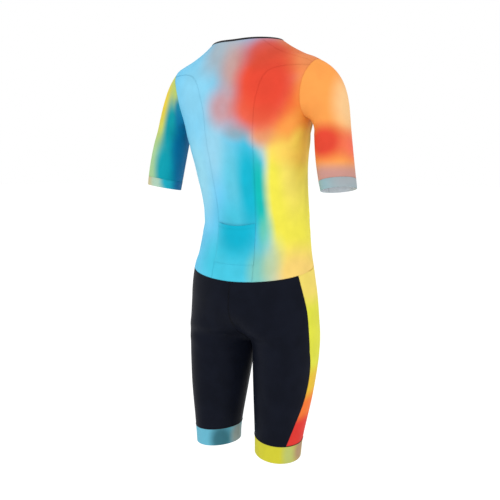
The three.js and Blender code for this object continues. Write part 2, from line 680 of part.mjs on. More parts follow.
// The tab hangs on the pin and leans back towards the cloth
const pullTab = fused(...pullParts)
  .translate(0, 0, -pinHeight)
  .rotateX(PULL_LEAN)
  .translate(0, 0, pinHeight);
placed(piece("zip_pull", pullTab, FINISH.pull));

export default suit;
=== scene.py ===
import math

import bpy
import numpy as np
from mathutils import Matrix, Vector


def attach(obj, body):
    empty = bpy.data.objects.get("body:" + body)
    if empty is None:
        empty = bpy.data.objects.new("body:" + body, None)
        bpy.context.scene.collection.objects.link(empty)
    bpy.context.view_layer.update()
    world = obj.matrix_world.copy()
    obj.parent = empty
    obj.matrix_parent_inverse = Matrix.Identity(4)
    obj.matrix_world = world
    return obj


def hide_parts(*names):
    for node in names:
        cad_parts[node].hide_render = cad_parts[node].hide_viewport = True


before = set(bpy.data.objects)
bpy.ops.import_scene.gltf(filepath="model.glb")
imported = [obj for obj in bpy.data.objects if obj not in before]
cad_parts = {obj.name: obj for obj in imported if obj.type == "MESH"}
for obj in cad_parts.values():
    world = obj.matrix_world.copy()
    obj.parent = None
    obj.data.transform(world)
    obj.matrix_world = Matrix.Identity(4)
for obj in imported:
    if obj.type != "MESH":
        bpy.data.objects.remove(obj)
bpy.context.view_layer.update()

# Sizes of the figure and the cut, the same as in the CAD model
ORIGIN = np.array([0.0, 30.0, 966.0])
MM = 0.001
CROTCH_HEIGHT = 276
CROTCH_ARCH = 112
CROTCH_SOFTNESS = 0.75
CROTCH_ROUNDING = 24
WAIST_BACK = 445
WAIST_FRONT = 490
WAIST_CURVE = 0.8
LEG_BAND = 44
LEG_HEM_RISE = 10
SLEEVE_BAND = 22
NECK_HALF_WIDTH = 94
NECK_HALF_DEPTH = 66
NECK_CENTRE_Y = 15
COLLAR_HEIGHT = 8

COLUMNS = ("level", "height", "outer", "inner", "front", "back", "middle", "power")
SECTIONS = (
    (0, 0, 145, 30, 61, 61, 17, 2),
    (45, 45, 149, 29, 65, 64, 15, 2),
    (150, 150, 165, 17.5, 82, 81, 0, 2),
    (230, 230, 172, 6.5, 94, 94, -12, 2),
    (276, 276, 173, 0, 99, 101, -17, 2),
    (330, 330, 172, 0, 103, 115, -19, 2.05),
    (389, 389, 171, 0, 104, 125, -17, 2.1),
    (462, 462, 162, 0, 101, 108, -12, 2.15),
    (512, 512, 150, 0, 102, 100, -18, 2.15),
    (598, 598, 138, 0, 107, 98, -24, 2.2),
    (708, 708, 146, 0, 108, 88, 5, 2.2),
    (782, 782, 158, 0, 118, 86, 22, 2.25),
    (830, 830, 168, 0, 118, 83, 27, 2.3),
    (880, 880, 185, 0, 110, 81, 30, 2.35),
    (925, 924, 196, 0, 98, 77, 31, 2.25),
    (955, 949, 196, 0, 84, 74, 24, 2.1),
    (985, 961, 181, 0, 71, 73, 20, 2),
    (1020, 973, 152, 0, 57, 71, 18, 2),
    (1060, 992, 117, 0, 40, 68, 15, 2),
    (1090, 1009, 92, 0, 25, 67, 13, 2),
    (1115, 1022, 76, 0, 20, 66, 10, 2),
)
TABLE = {name: np.array([row[k] for row in SECTIONS], float) for k, name in enumerate(COLUMNS)}

# The princess seam: distance from the centre back, and level
PRINCESS_SEAM = ((57, 445), (52, 581), (59, 708), (65, 800), (74, 870), (94, 921), (130, 939))
ARMHOLE_LEVEL = 897
ARMHOLE_HALF_HEIGHT = 71
ARMHOLE_BACK = 29
ARMHOLE_FRONT = 26
PRINCESS_TURN = 51
BACK_ARCH = 26
SHOULDER_TURN = 42
SIDE_TURN = 205
SHOULDER_MIDDLE = (125, 984)
SHOULDER_NECK_ANGLE = 137
SIDE_MIDDLE = (74, 650)
SIDE_WAIST_ANGLE = 72
# The side panel of the shorts: level, and the chart angles of its back and front edges
SIDE_PANEL = (
    (44, 112, 64),
    (90, 106, 70),
    (160, 98, 74),
    (230, 96, 73),
    (320, 101, 70),
    (400, 107.5, 66),
    (475, 114, 62),
)
# The arm: centre x, y and z, half width across and half depth front to back
ARM_RINGS = ((223, 17, 800, 39, 51), (234, 28, 732, 40, 54), (246, 31, 665, 38, 53))
SLEEVE_OUT = np.array([0.88, -0.40, -0.26])
SLEEVE_OUT_SHARE = 0.55
SLEEVE_TOP, SLEEVE_BOTTOM = 240, 26
SLEEVE_END_TOP, SLEEVE_END_BOTTOM = 125, 26
POCKET_ROWS = (1.5, 5.2)
POCKET_HEM = 0.1
POCKET_DIP = 7
ZIP_HALF_WIDTH = 6

# The look of the cloth
CLOTH = 1.0
BAND_CLOTH = 1.3
SEAM_DIP = 0.14
SEAM_FILL = 0.3
SEAM_DIP_WIDTH = 1.1
PAINTED_SEAM_SHADE_WIDTH = 2.4
SLEEVE_BAND_LIFT = 0.15
LEG_BAND_LIFT = 0.2
FINE = 8
SIDES = ("left", "right")
ALL_EDGES = ("left", "right", "low", "high")
BAND_EDGES = ("left", "right", "high")
CURVE_STEPS = 60
HALVINGS = 40
# Levels between which the neck's edge lies
NECK_LEVELS = (925.0, 1115.0)


def column(name, level):
    level = np.asarray(level, float)
    x, y = TABLE["level"], TABLE[name]
    k = np.clip(np.searchsorted(x, level, side="right") - 1, 0, len(x) - 2)
    slopes = np.empty_like(y)
    slopes[1:-1] = (y[2:] - y[:-2]) / (x[2:] - x[:-2])
    slopes[0] = (y[1] - y[0]) / (x[1] - x[0])
    slopes[-1] = (y[-1] - y[-2]) / (x[-1] - x[-2])
    span = x[k + 1] - x[k]
    u = (level - x[k]) / span
    bend = u * u * (3 - 2 * u)
    rise = span * (u * (1 - u) ** 2 * slopes[k] - u * u * (1 - u) * slopes[k + 1])
    return y[k] * (1 - bend) + y[k + 1] * bend + rise


def signed_power(value, power):
    return np.sign(value) * np.abs(value) ** power


def figure(angle, level):
    """Points of the figure: 0 is the centre front, 90 the wearer's left, 180 the centre back."""
    angle, level = np.broadcast_arrays(np.asarray(angle, float), np.asarray(level, float))
    past = (angle < 0) | (angle > 180)
    leg = level < CROTCH_HEIGHT
    wrapped = np.where(angle < 0, angle + 180, angle - 180)
    mirrored = np.where(angle < 0, -angle, 360 - angle)
    sign = np.where(past & ~leg, -1.0, 1.0)
    angle = np.where(past, np.where(leg, wrapped, mirrored), angle)
    power = column("power", level)
    height = column("height", level)
    above = np.clip((height - CROTCH_HEIGHT) / CROTCH_ARCH, 0, 1)
    eased = above * above * (3 - 2 * above)
    share = 1 - (above + (eased - above) * CROTCH_SOFTNESS)
    rounding = CROTCH_ROUNDING * share
    reach = np.hypot(column("outer", level), rounding)
    parted = np.hypot(np.maximum(0, column("inner", level)), rounding)
    centre = np.where(above > 0, (rounding + share * reach) / (1 + share), (reach + parted) / 2)
    half_turn = 90 + np.degrees(np.arcsin(np.clip(share ** (power / 2), 0, 1)))
    turn = np.radians(90 + (angle - 90) * half_turn / 90)
    across = centre + (reach - centre) * signed_power(np.sin(turn), 2 / power)
    forward = signed_power(np.cos(turn), 2 / power)
    depth = np.where(forward > 0, column("front", level), column("back", level))
    x = np.sqrt(np.maximum(0, across**2 - rounding**2)) * sign
    return np.stack([x, column("middle", level) - forward * depth, height], -1)


def unit(v):
    return v / np.maximum(np.linalg.norm(v, axis=-1, keepdims=True), 1e-12)


def figure_normal(angle, level, d=0.5):
    around = figure(angle + d, level) - figure(angle - d, level)
    up = figure(angle, level + d) - figure(angle, level - d)
    return unit(np.cross(around, up))


def on_figure(chart):
    """Points and normals of the figure at chart points, which are an angle and a level each."""
    return figure(chart[..., 0], chart[..., 1]), figure_normal(chart[..., 0], chart[..., 1])


def angle_across(across, level, side):
    share = np.minimum(1, across / column("outer", level))
    turn = np.degrees(np.arcsin(share ** (column("power", level) / 2)))
    return 180 - turn if side == "back" else turn


def waist_level(angle):
    share = ((1 + np.cos(np.radians(angle))) / 2) ** WAIST_CURVE
    return WAIST_BACK + (WAIST_FRONT - WAIST_BACK) * share


def neck_level(angle):
    angle = np.asarray(angle, float)
    low, high = (np.full(angle.shape, level) for level in NECK_LEVELS)
    for _ in range(HALVINGS):
        level = (low + high) / 2
        p = figure(angle, level)
        size = (p[..., 0] / NECK_HALF_WIDTH) ** 2 + ((p[..., 1] - NECK_CENTRE_Y) / NECK_HALF_DEPTH) ** 2
        high = np.where(size < 1, level, high)
        low = np.where(size < 1, low, level)
    return low


def armhole_chart(turn):
    around = np.sin(np.radians(turn))
    width = np.where(around > 0, ARMHOLE_BACK, ARMHOLE_FRONT)
    level = ARMHOLE_LEVEL + ARMHOLE_HALF_HEIGHT * np.cos(np.radians(turn))
    return np.stack([90 + width * around, level], -1)


def smooth(points):
    """A smooth curve through a few chart points, as a fine polyline."""
    p = np.array(points, float)
    ends = np.vstack([p[:1], p, p[-1:]])
    fine = []
    for k in range(len(p) - 1):
        t = np.linspace(0, 1, CURVE_STEPS, endpoint=False)[:, None]
        a, b, c, d = ends[k : k + 4]
        v0, v1 = (c - a) / 2, (d - b) / 2
        fine.append((2 * b - 2 * c + v0 + v1) * t**3 + (3 * c - 3 * b - 2 * v0 - v1) * t**2 + v0 * t + b)
    return np.vstack([*fine, p[-1:]])


def lengths_along(points):
    """Distance from a path's first point to each of its points, along the path."""
    return np.concatenate([[0], np.cumsum(np.linalg.norm(np.diff(points, axis=0), axis=1))])


def spaced(points, count):
    """Evenly spaced points along the smooth curve through a few chart points."""
    fine = smooth(points)
    walked = lengths_along(fine)
    at = np.linspace(0, walked[-1], count + 1)
    return np.stack([np.interp(at, walked, fine[:, k]) for k in range(2)], -1)


def joined(*paths):
    return np.vstack([paths[0], *[path[1:] for path in paths[1:]]])


def waist_path(start, end, count):
    angle = np.linspace(start, end, count + 1)
    return np.stack([angle, waist_level(angle)], -1)


def neck_path(start, end, count):
    angle = np.linspace(start, end, count + 1)
    return np.stack([angle, neck_level(angle)], -1)


def mirrored_path(path):
    return np.stack([360 - path[:, 0], path[:, 1]], -1)


def filled(bottom, top, left, right):
    """A grid of chart points between four edges, each row running from left to right."""
    u = np.linspace(0, 1, len(bottom))[None, :, None]
    v = np.linspace(0, 1, len(left))[:, None, None]
    edges = bottom[None] * (1 - v) + top[None] * v + left[:, None] * (1 - u) + right[:, None] * u
    low = bottom[0] * (1 - u) * (1 - v) + bottom[-1] * u * (1 - v)
    return edges - low - top[0] * (1 - u) * v - top[-1] * u * v


# Mesh steps along the seams
SIDE = 20 * FINE
ARM_TOP = 2 * FINE
ARM_BACK = 10 * FINE // 2
ARM_FRONT = 12 * FINE
SHOULDER = 8 * FINE
BACK_WIDTH = 9 * FINE
NECK_FRONT = 7 * FINE
ZIP_STEPS = SIDE + ARM_FRONT - NECK_FRONT

arm_top_turns = np.linspace(PRINCESS_TURN, SHOULDER_TURN, ARM_TOP + 1)
arm_back_turns = np.linspace(SIDE_TURN, PRINCESS_TURN, ARM_BACK + 1)
arm_front_turns = np.linspace(SIDE_TURN, 360 + SHOULDER_TURN, ARM_FRONT + 1)
sleeve_turns = np.concatenate([arm_front_turns - 360, arm_top_turns[::-1][1:], arm_back_turns[::-1][1:]])
princess_chart = [(angle_across(a, level, "back"), level) for a, level in PRINCESS_SEAM]
princess_chart[0] = (princess_chart[0][0], waist_level(princess_chart[0][0]))
princess = spaced([*princess_chart, armhole_chart(PRINCESS_TURN)], SIDE)
side_waist = (SIDE_WAIST_ANGLE, waist_level(SIDE_WAIST_ANGLE))
side_seam = spaced([side_waist, SIDE_MIDDLE, armhole_chart(SIDE_TURN)], SIDE)
neck_point = (SHOULDER_NECK_ANGLE, float(neck_level(SHOULDER_NECK_ANGLE)))
shoulder_seam = spaced([armhole_chart(SHOULDER_TURN), SHOULDER_MIDDLE, neck_point], SHOULDER)
back_side = joined(princess, armhole_chart(arm_top_turns), shoulder_seam)
back_grid = filled(
    waist_path(princess[0, 0], 360 - princess[0, 0], BACK_WIDTH),
    neck_path(SHOULDER_NECK_ANGLE, 360 - SHOULDER_NECK_ANGLE, BACK_WIDTH),
    back_side,
    mirrored_path(back_side),
)
# Its rows arch upwards between the seams, so that none folds where the seam turns outwards
back_across = np.linspace(-1, 1, BACK_WIDTH + 1)[None, :]
back_share = np.linspace(0, 1, len(back_side))[:, None]
back_grid[..., 1] += BACK_ARCH * (1 - back_across**2) * np.sin(math.pi * back_share**2)
side_back_grid = filled(
    waist_path(side_seam[0, 0], princess[0, 0], ARM_BACK),
    armhole_chart(arm_back_turns),
    side_seam,
    princess,
)
zip_levels = np.linspace(waist_level(0), neck_level(0), ZIP_STEPS + 1)


def zip_chart(across, levels):
    return np.stack([angle_across(across, levels, "front"), levels], -1)


zip_edge = zip_chart(ZIP_HALF_WIDTH, zip_levels)
front_neck = neck_path(zip_edge[-1, 0], SHOULDER_NECK_ANGLE, NECK_FRONT)
front_grid = filled(
    waist_path(zip_edge[0, 0], side_seam[0, 0], SHOULDER),
    shoulder_seam[::-1],
    joined(zip_edge, front_neck),
    joined(side_seam, armhole_chart(arm_front_turns)),
)


def armhole_frame(turn):
    """Directions along the armhole's seam, and normals of the figure at it."""
    before, after = (figure(*armhole_chart(t).T) for t in (turn - 1, turn + 1))
    return unit(after - before), figure_normal(*armhole_chart(turn).T)


def sleeve_start(turn):
    in_surface = np.cross(*armhole_frame(turn))
    down = (1 - np.cos(np.radians(turn)))[:, None] / 2
    share = SLEEVE_OUT_SHARE + (1 - SLEEVE_OUT_SHARE) * down
    return unit(in_surface * (1 - share) + SLEEVE_OUT * share)


def arm_ring(ring, turn):
    first, last = np.array(ARM_RINGS[0][:3]), np.array(ARM_RINGS[-1][:3])
    down = unit(last - first)
    outward = unit(np.array([1.0, 0, 0]) - down * down[0])
    backward = unit(np.array([0, 1.0, 0]) - down * down[1])
    x, y, z, side, depth = ring
    turn = np.radians(turn)[:, None]
    return np.array([x, y, z]) + outward * side * np.cos(turn) + backward * depth * np.sin(turn)


def arm_at(share):
    """The ring at a share of the way from the first to the last, on a curve through all three."""
    a, b, c = (np.array(ring, float) for ring in ARM_RINGS)
    s = share * 2
    return a * (s - 1) * (s - 2) / 2 + b * s * (2 - s) + c * s * (s - 1) / 2


def cap_rows(turn, count):
    down = (1 - np.cos(np.radians(turn)))[:, None] / 2
    start = SLEEVE_TOP + (SLEEVE_BOTTOM - SLEEVE_TOP) * down
    end = SLEEVE_END_TOP + (SLEEVE_END_BOTTOM - SLEEVE_END_TOP) * down
    rim = figure(*armhole_chart(turn).T)
    target = arm_ring(ARM_RINGS[0], turn)
    drop = unit(arm_ring(ARM_RINGS[1], turn) - target)
    first = sleeve_start(turn)
    rows = []
    for u in np.linspace(0, 1, count + 1):
        bend = u * u * (3 - 2 * u)
        row = rim * (1 - bend) + target * bend + first * start * u * (1 - u) ** 2
        rows.append(row - drop * end * u * u * (1 - u))
    return rows


def ring_normals(points):
    """Normals of a grid whose rows each close on themselves."""
    around = np.roll(points[:, :-1], -1, 1) - np.roll(points[:, :-1], 1, 1)
    around = np.concatenate([around, around[:, :1]], 1)
    return unit(np.cross(around, np.gradient(points, axis=0)))


# Creases: soft troughs where the cloth gives, each between two chart points of the left half, with its
# depth and half width in millimetres. Side 1 is the wearer's left, -1 the right, 0 both.
CREASES = (
    ((178, 296), (128, 300), 4.2, 15, 0),  # Under the seat
    ((140, 312), (112, 296), 1.8, 10, 1),  # Seat, outer end
    ((146, 318), (116, 306), 2.2, 9, -1),  # Seat, outer end
    ((172, 268), (140, 235), 1.6, 9, 0),  # Inseam back
    ((8, 300), (52, 352), 2.4, 10, 0),  # Groin
    ((6, 276), (44, 318), 1.6, 8, 1),  # Groin, lower
    ((10, 272), (46, 306), 1.9, 8, -1),  # Groin, lower
    ((96, 560), (132, 588), 1.0, 9, 1),  # Waist side
    ((92, 600), (128, 622), 0.9, 8, -1),  # Waist side
    ((48, 566), (86, 590), 1.2, 10, 0),  # Waist front
    ((84, 470), (118, 500), 0.9, 9, 0),  # Hip
    ((98, 812), (124, 770), 1.5, 8, -1),  # Underarm back
    ((98, 806), (120, 756), 1.2, 8, 1),  # Underarm back
    ((80, 815), (56, 772), 1.6, 9, 0),  # Underarm front
    ((118, 868), (132, 800), 1.0, 12, 0),  # Blade
    ((60, 880), (36, 850), 1.2, 12, 0),  # Chest
    ((40, 150), (56, 96), 0.9, 10, 0),  # Thigh front
    ((150, 190), (132, 120), 0.9, 12, 0),  # Thigh back
)


# Each crease has low banks beside it, and fades towards its ends
CREASE_STEPS = 9
CREASE_BANK = 0.35
CREASE_BANK_AT = 1.9
CREASE_LENGTH = 0.86
CREASE_END = 0.07
CREASE_FADE = 1.3


def trough(points, route, depth, width):
    """Depth at each point of a soft trough along a route."""
    flat = points.reshape(-1, 3)
    best = np.full(len(flat), 1e9)
    share = np.zeros(len(flat))
    for k in range(len(route) - 1):
        a, b = route[k], route[k + 1]
        s = np.clip((flat - a) @ (b - a) / ((b - a) @ (b - a)), 0, 1)
        d = np.linalg.norm(flat - (a + s[:, None] * (b - a)), axis=1)
        nearer = d < best
        best = np.where(nearer, d, best)
        share = np.where(nearer, (k + s) / (len(route) - 1), share)
    taper = np.sin(np.pi * np.clip(share * CREASE_LENGTH + CREASE_END, 0, 1)) ** CREASE_FADE
    bank = np.exp(-(((best - CREASE_BANK_AT * width) / width) ** 2))
    section = np.exp(-((best / width) ** 2)) - CREASE_BANK * bank
    return (depth * taper * section).reshape(points.shape[:-1])


def crease_lift(points, mirrored=False):
    """How far the cloth moves along its normal at each point, for all the creases together."""
    lift = np.zeros(points.shape[:-1])
    t = np.linspace(0, 1, CREASE_STEPS)
    for start, end, depth, width, side in CREASES:
        if side == 0 or (side < 0) == mirrored:
            route = figure(start[0] + (end[0] - start[0]) * t, start[1] + (end[1] - start[1]) * t)
            lift -= trough(points, route, depth, width)
    return lift


def linear(rgb):
    """An 8-bit colour as linear red, green, blue and alpha."""
    c = np.array(rgb, float) / 255
    low = c / 12.92
    high = ((c + 0.055) / 1.055) ** 2.4
    return (*np.where(c <= 0.04045, low, high), 1.0)


# Mesh making
def to_scene(points):
    return (np.asarray(points, float).reshape(-1, 3) - ORIGIN) * MM


def mesh_piece(name, verts, faces, materials, face_material=None, smooth=None):
    mesh = bpy.data.meshes.new(name)
    mesh.from_pydata([tuple(v) for v in verts], [], [tuple(f) for f in faces])
    for m in materials:
        mesh.materials.append(m)
    if face_material is not None:
        mesh.polygons.foreach_set("material_index", np.asarray(face_material, np.int32))
    flags = np.ones(len(mesh.polygons), bool) if smooth is None else np.asarray(smooth, bool)
    mesh.polygons.foreach_set("use_smooth", flags)
    mesh.update()
    obj = bpy.data.objects.new(name, mesh)
    bpy.context.scene.collection.objects.link(obj)
    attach(obj, "suit")
    return obj


def edge_distance(points):
    """Distance from each grid point to the grid's nearest edge, along its rows and columns."""
    across = np.linalg.norm(np.diff(points, axis=1), axis=2)
    up = np.linalg.norm(np.diff(points, axis=0), axis=2)
    from_left = np.concatenate([np.zeros((len(points), 1)), np.cumsum(across, 1)], 1)
    from_low = np.concatenate([np.zeros((1, points.shape[1])), np.cumsum(up, 0)], 0)
    left, right = from_left, from_left[:, -1:] - from_left
    low, high = from_low, from_low[-1:] - from_low
    return {"left": left, "right": right, "low": low, "high": high}


def denser(count):
    """Positions along a grid with extra ones next to each end, where the seams are."""
    near = [0, 0.15, 0.35, 0.65]
    return np.array([*near, *range(1, count), *[count - n for n in reversed(near)]])


def resample(grid):
    rows, cols = denser(grid.shape[0] - 1), denser(grid.shape[1] - 1)
    r = np.clip(np.floor(rows).astype(int), 0, grid.shape[0] - 2)
    c = np.clip(np.floor(cols).astype(int), 0, grid.shape[1] - 2)
    fr, fc = (rows - r)[:, None, None], (cols - c)[None, :, None]
    g = grid
    low = g[r][:, c] * (1 - fc) + g[r][:, c + 1] * fc
    high = g[r + 1][:, c] * (1 - fc) + g[r + 1][:, c + 1] * fc
    return low * (1 - fr) + high * fr


# Each panel's object, and the rows and columns of its outer face
pieces = {}
panel_sizes = {}


def shell(
    node, points, normals, lift, outside, inside,
    mirror=False, edges=ALL_EDGES, cloth=CLOTH, suffix="cloth",
):
    """A thin closed shell on a grid of points, with a dip along the edges that are sewn."""
    distance = edge_distance(points)
    nearest = np.min([distance[k] for k in edges], axis=0)
    lift = lift - SEAM_DIP * np.exp(-((nearest / SEAM_DIP_WIDTH) ** 2))
    outer = points + normals * lift[..., None]
    inner = points + normals * (lift - cloth)[..., None]
    if mirror:
        outer, inner = (g * np.array([-1, 1, 1]) for g in (outer, inner))
    rows, cols = points.shape[:2]
    index = np.arange(rows * cols).reshape(rows, cols)
    a, b, c, d = index[:-1, :-1], index[:-1, 1:], index[1:, 1:], index[1:, :-1]
    faces_out = np.stack([a, b, c, d], -1).reshape(-1, 4)
    faces_in = np.stack([a, d, c, b], -1).reshape(-1, 4) + rows * cols
    rim = np.concatenate([index[0, :], index[1:, -1], index[-1, -2::-1], index[-2:0:-1, 0]])
    after = np.roll(rim, -1)
    border = np.stack([rim, rim + rows * cols, after + rows * cols, after], -1)
    faces = np.concatenate([faces_out, faces_in, border])
    if mirror:
        faces = faces[:, ::-1]
    kind = np.concatenate([np.zeros(len(faces_out)), np.ones(len(faces_in)), np.zeros(len(border))])
    smooth = np.concatenate([np.ones(len(faces_out) + len(faces_in)), np.zeros(len(border))])
    verts = np.concatenate([to_scene(outer), to_scene(inner)])
    obj = mesh_piece(f"{node}_{suffix}", verts, faces, [outside, inside], kind, smooth)
    # The seam attribute: how strongly the painted seam shade darkens the colour here
    seam = obj.data.attributes.new("seam", "FLOAT", "POINT")
    near = np.exp(-((nearest / PAINTED_SEAM_SHADE_WIDTH) ** 2)).ravel()
    seam.data.foreach_set("value", np.concatenate([near, near]).astype(np.float32))
    panel_sizes[node] = (rows, cols)
    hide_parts(node)
    pieces[node] = obj


# The knit: how its columns slant and how wide they are, its fluff, its uneven tone and its depth
WALE_SLANT = 0.8
WALE_WIDTH = 0.8
FLUFF_SCALE, FLUFF_DETAIL, FLUFF = 420.0, 3.0, 1.5
MOTTLE_SCALE, MOTTLE_DETAIL = 26.0, 2.0
MOTTLE_LOW, MOTTLE_HIGH = 0.3, 0.7
KNIT_DEPTH = 0.0002


# Materials
class Graph:
    """The node tree of one material, built from the surface shader backwards."""

    def __init__(self, name, roughness, specular):
        self.material = bpy.data.materials.new(name)
        self.material.use_nodes = True
        self.tree = self.material.node_tree
        self.shader = self.tree.nodes["Principled BSDF"]
        self.shader.inputs["Roughness"].default_value = roughness
        self.shader.inputs["Specular IOR Level"].default_value = specular

    def node(self, kind, inputs=(), **settings):
        node = self.tree.nodes.new(kind)
        for key, value in settings.items():
            setattr(node, key, value)
        for key, value in dict(inputs).items():
            self.put(node.inputs[key], value)
        return node

    def put(self, socket, value):
        if isinstance(value, bpy.types.NodeSocket):
            self.tree.links.new(value, socket)
        else:
            socket.default_value = value

    def math(self, operation, *values):
        return self.node("ShaderNodeMath", enumerate(values), operation=operation).outputs[0]

    def vector(self, operation, *values):
        return self.node("ShaderNodeVectorMath", enumerate(values), operation=operation)

    def mix(self, share, a, b, blend="MIX"):
        node = self.node("ShaderNodeMix", data_type="RGBA", blend_type=blend)
        self.put(node.inputs[0], share)
        self.put(node.inputs[6], a)
        self.put(node.inputs[7], b)
        return node.outputs[2]

    def ramp(self, low, high, value, a=0.0, b=1.0):
        inputs = {"Value": value, "From Min": low, "From Max": high, "To Min": a, "To Max": b}
        return self.node("ShaderNodeMapRange", inputs, interpolation_type="SMOOTHSTEP").outputs[0]

    def place(self):
        return self.node("ShaderNodeTexCoord").outputs["Object"]

    def field(self, place, centre, radii, plateau):
        """1 up to a share of the way out of a soft ellipsoid, 0 outside it."""
        centre = (np.array(centre, float) - ORIGIN) * MM
        radii = np.array(radii, float) * MM
        shift = self.vector("SUBTRACT", place, tuple(centre))
        length = self.vector("LENGTH", self.vector("MULTIPLY", shift.outputs[0], tuple(1 / radii)).outputs[0])
        return self.ramp(plateau, 1.0, length.outputs["Value"], 1.0, 0.0)

    def knit(self, place, colour, pitch, strength, mottle=0.035):
        """Fine loops of a knit in rows, with a slight unevenness of tone."""
        axes = self.node("ShaderNodeSeparateXYZ", {0: place}).outputs
        turn = 2 * math.pi / (pitch * MM)
        row = self.math("SINE", self.math("MULTIPLY", axes[2], turn))
        slope = self.math("ADD", axes[0], self.math("MULTIPLY", axes[1], WALE_SLANT))
        wale = self.math("SINE", self.math("MULTIPLY", slope, turn * WALE_WIDTH))
        loops = self.math("MULTIPLY", row, wale)
        fluff, soft = (
            self.node("ShaderNodeTexNoise", {"Vector": place, "Scale": scale, "Detail": detail}).outputs[0]
            for scale, detail in ((FLUFF_SCALE, FLUFF_DETAIL), (MOTTLE_SCALE, MOTTLE_DETAIL))
        )
        height = self.math("ADD", loops, self.math("MULTIPLY", fluff, FLUFF))
        bump = self.node("ShaderNodeBump", {"Strength": strength, "Distance": KNIT_DEPTH, "Height": height})
        self.put(self.shader.inputs["Normal"], bump.outputs[0])
        tone = self.ramp(MOTTLE_LOW, MOTTLE_HIGH, soft, 1 - mottle, 1 + mottle)
        shade = self.node("ShaderNodeCombineColor", {0: tone, 1: tone, 2: tone}).outputs[0]
        return self.mix(1.0, colour, shade, "MULTIPLY")

    # Painted shade: darkens the colour towards black next to the seams, by the seam attribute
    def painted_seam_shade(self, colour, dark):
        near = self.node("ShaderNodeAttribute", attribute_name="seam", attribute_type="GEOMETRY")
        amount = self.math("MULTIPLY", near.outputs["Fac"], 1 - dark)
        return self.mix(amount, colour, (0.0, 0.0, 0.0, 1.0))

    def finish(self, colour):
        self.put(self.shader.inputs["Base Color"], colour)
        return self.material


def field_print(graph, place, base, fields):
    colour = linear(base)
    for centre, radii, rgb, strength, plateau in fields:
        share = graph.field(place, centre, radii, plateau)
        if strength < 1:
            share = graph.math("MULTIPLY", share, strength)
        colour = graph.mix(share, colour, linear(rgb))
    return colour


# The print: soft spots of colour laid over each other, in the order in which they are mixed.
# Each has its centre and radii in millimetres of the figure, its colour, its strength, and the share
# of its radius within which it is even.
# Besides the print, the bodice spots hold painted shade under the right arm, and the right sleeve's spots a
# painted highlight.
BODICE_BASE = (112, 205, 245)
BODICE_FIELDS = (
    # Pale blue and grey of the left half
    ((110, 90, 690), (75, 150, 170), (158, 222, 242), 0.9, 0.2),
    ((90, 90, 890), (110, 200, 140), (138, 212, 242), 1.0, 0.2),
    ((40, 100, 760), (62, 120, 120), (160, 216, 238), 0.8, 0.2),
    ((28, 90, 980), (85, 120, 90), (166, 184, 196), 1.0, 0.2),
    # Cyan of the middle and lower back
    ((-10, 110, 680), (64, 130, 150), (92, 202, 226), 0.9, 0.2),
    ((10, 100, 490), (170, 140, 110), (66, 202, 228), 0.95, 0.3),
    ((0, 100, 590), (90, 120, 80), (66, 196, 222), 0.9, 0.2),
    ((-46, 110, 660), (46, 120, 175), (10, 184, 212), 1.0, 0.35),
    ((-70, 90, 640), (24, 110, 150), (0, 192, 184), 0.95, 0.3),
    # Yellow of the right half, and peach at the waist
    ((-268, 0, 650), (203.5, 420, 330), (246, 236, 78), 1.0, 0.87),
    ((-130, 40, 700), (30, 160, 150), (255, 236, 112), 0.8, 0.1),
    ((-150, 40, 470), (100, 200, 90), (252, 212, 122), 0.9, 0.2),
    ((-78, 80, 565), (26, 120, 60), (136, 214, 160), 0.5, 0.2),
    ((-70, 100, 478), (44, 120, 80), (130, 202, 188), 0.9, 0.2),
    ((-98, 90, 500), (34, 120, 84), (196, 214, 160), 0.7, 0.2),
    # Golden under the red, orange and peach round it
    ((-146, 70, 766), (92, 200, 68), (255, 218, 96), 1.0, 0.3),
    ((-128, 70, 820), (84, 200, 62), (250, 152, 72), 0.9, 0.3),
    ((-160, 24, 770), (32, 90, 54), (255, 230, 96), 0.95, 0.3),
    ((-160, 70, 872), (56, 160, 56), (248, 132, 60), 0.9, 0.3),
    ((-84, 90, 790), (50, 140, 44), (236, 150, 96), 0.9, 0.2),
    ((-24, 110, 796), (50, 120, 32), (146, 166, 178), 0.8, 0.2),
    ((-150, 40, 950), (120, 200, 100), (240, 140, 84), 1.0, 0.3),
    ((-14, 100, 935), (58, 130, 105), (202, 156, 146), 0.9, 0.15),
    ((10, 110, 850), (70, 120, 72), (206, 150, 152), 0.9, 0.2),
    # Red of the right blade and shoulder
    ((-88, 100, 896), (92, 190, 120), (236, 86, 58), 1.0, 0.4),
    ((-68, 100, 842), (82, 190, 64), (238, 94, 62), 0.95, 0.3),
    ((-98, 100, 902), (90, 190, 104), (232, 70, 48), 0.9, 0.3),
    ((-84, 70, 975), (88, 120, 64), (218, 74, 50), 0.9, 0.25),
    # Orange of the right shoulder and armhole
    ((-200, 50, 870), (54, 160, 110), (252, 146, 66), 1.0, 0.3),
    ((-188, 60, 955), (40, 100, 40), (232, 142, 88), 0.7, 0.2),
    ((-130, 0, 1000), (100, 66, 70), (222, 112, 48), 0.9, 0.3),
    # Painted shade under the right arm: dark brown at the top, olive lower down
    ((-160, -30, 775), (13, 44, 110), (84, 46, 24), 0.85, 0.2),
    ((-148, -40, 640), (16, 46, 110), (150, 142, 34), 0.5, 0.2),
)
SLEEVE_RIGHT_BASE = (254, 164, 80)
SLEEVE_RIGHT_FIELDS = (
    # Painted highlight: a pale peach streak on the upper right sleeve
    ((-262, 20, 860), (48, 80, 110), (255, 208, 148), 0.95, 0.2),
    ((-225, 80, 770), (74, 120, 56), (230, 72, 50), 1.0, 0.3),
    ((-282, 10, 764), (54, 100, 56), (248, 112, 84), 1.0, 0.2),
    ((-240, 40, 698), (130, 160, 36), (202, 150, 142), 0.95, 0.25),
)
SLEEVE_LEFT_BASE = (190, 212, 110)
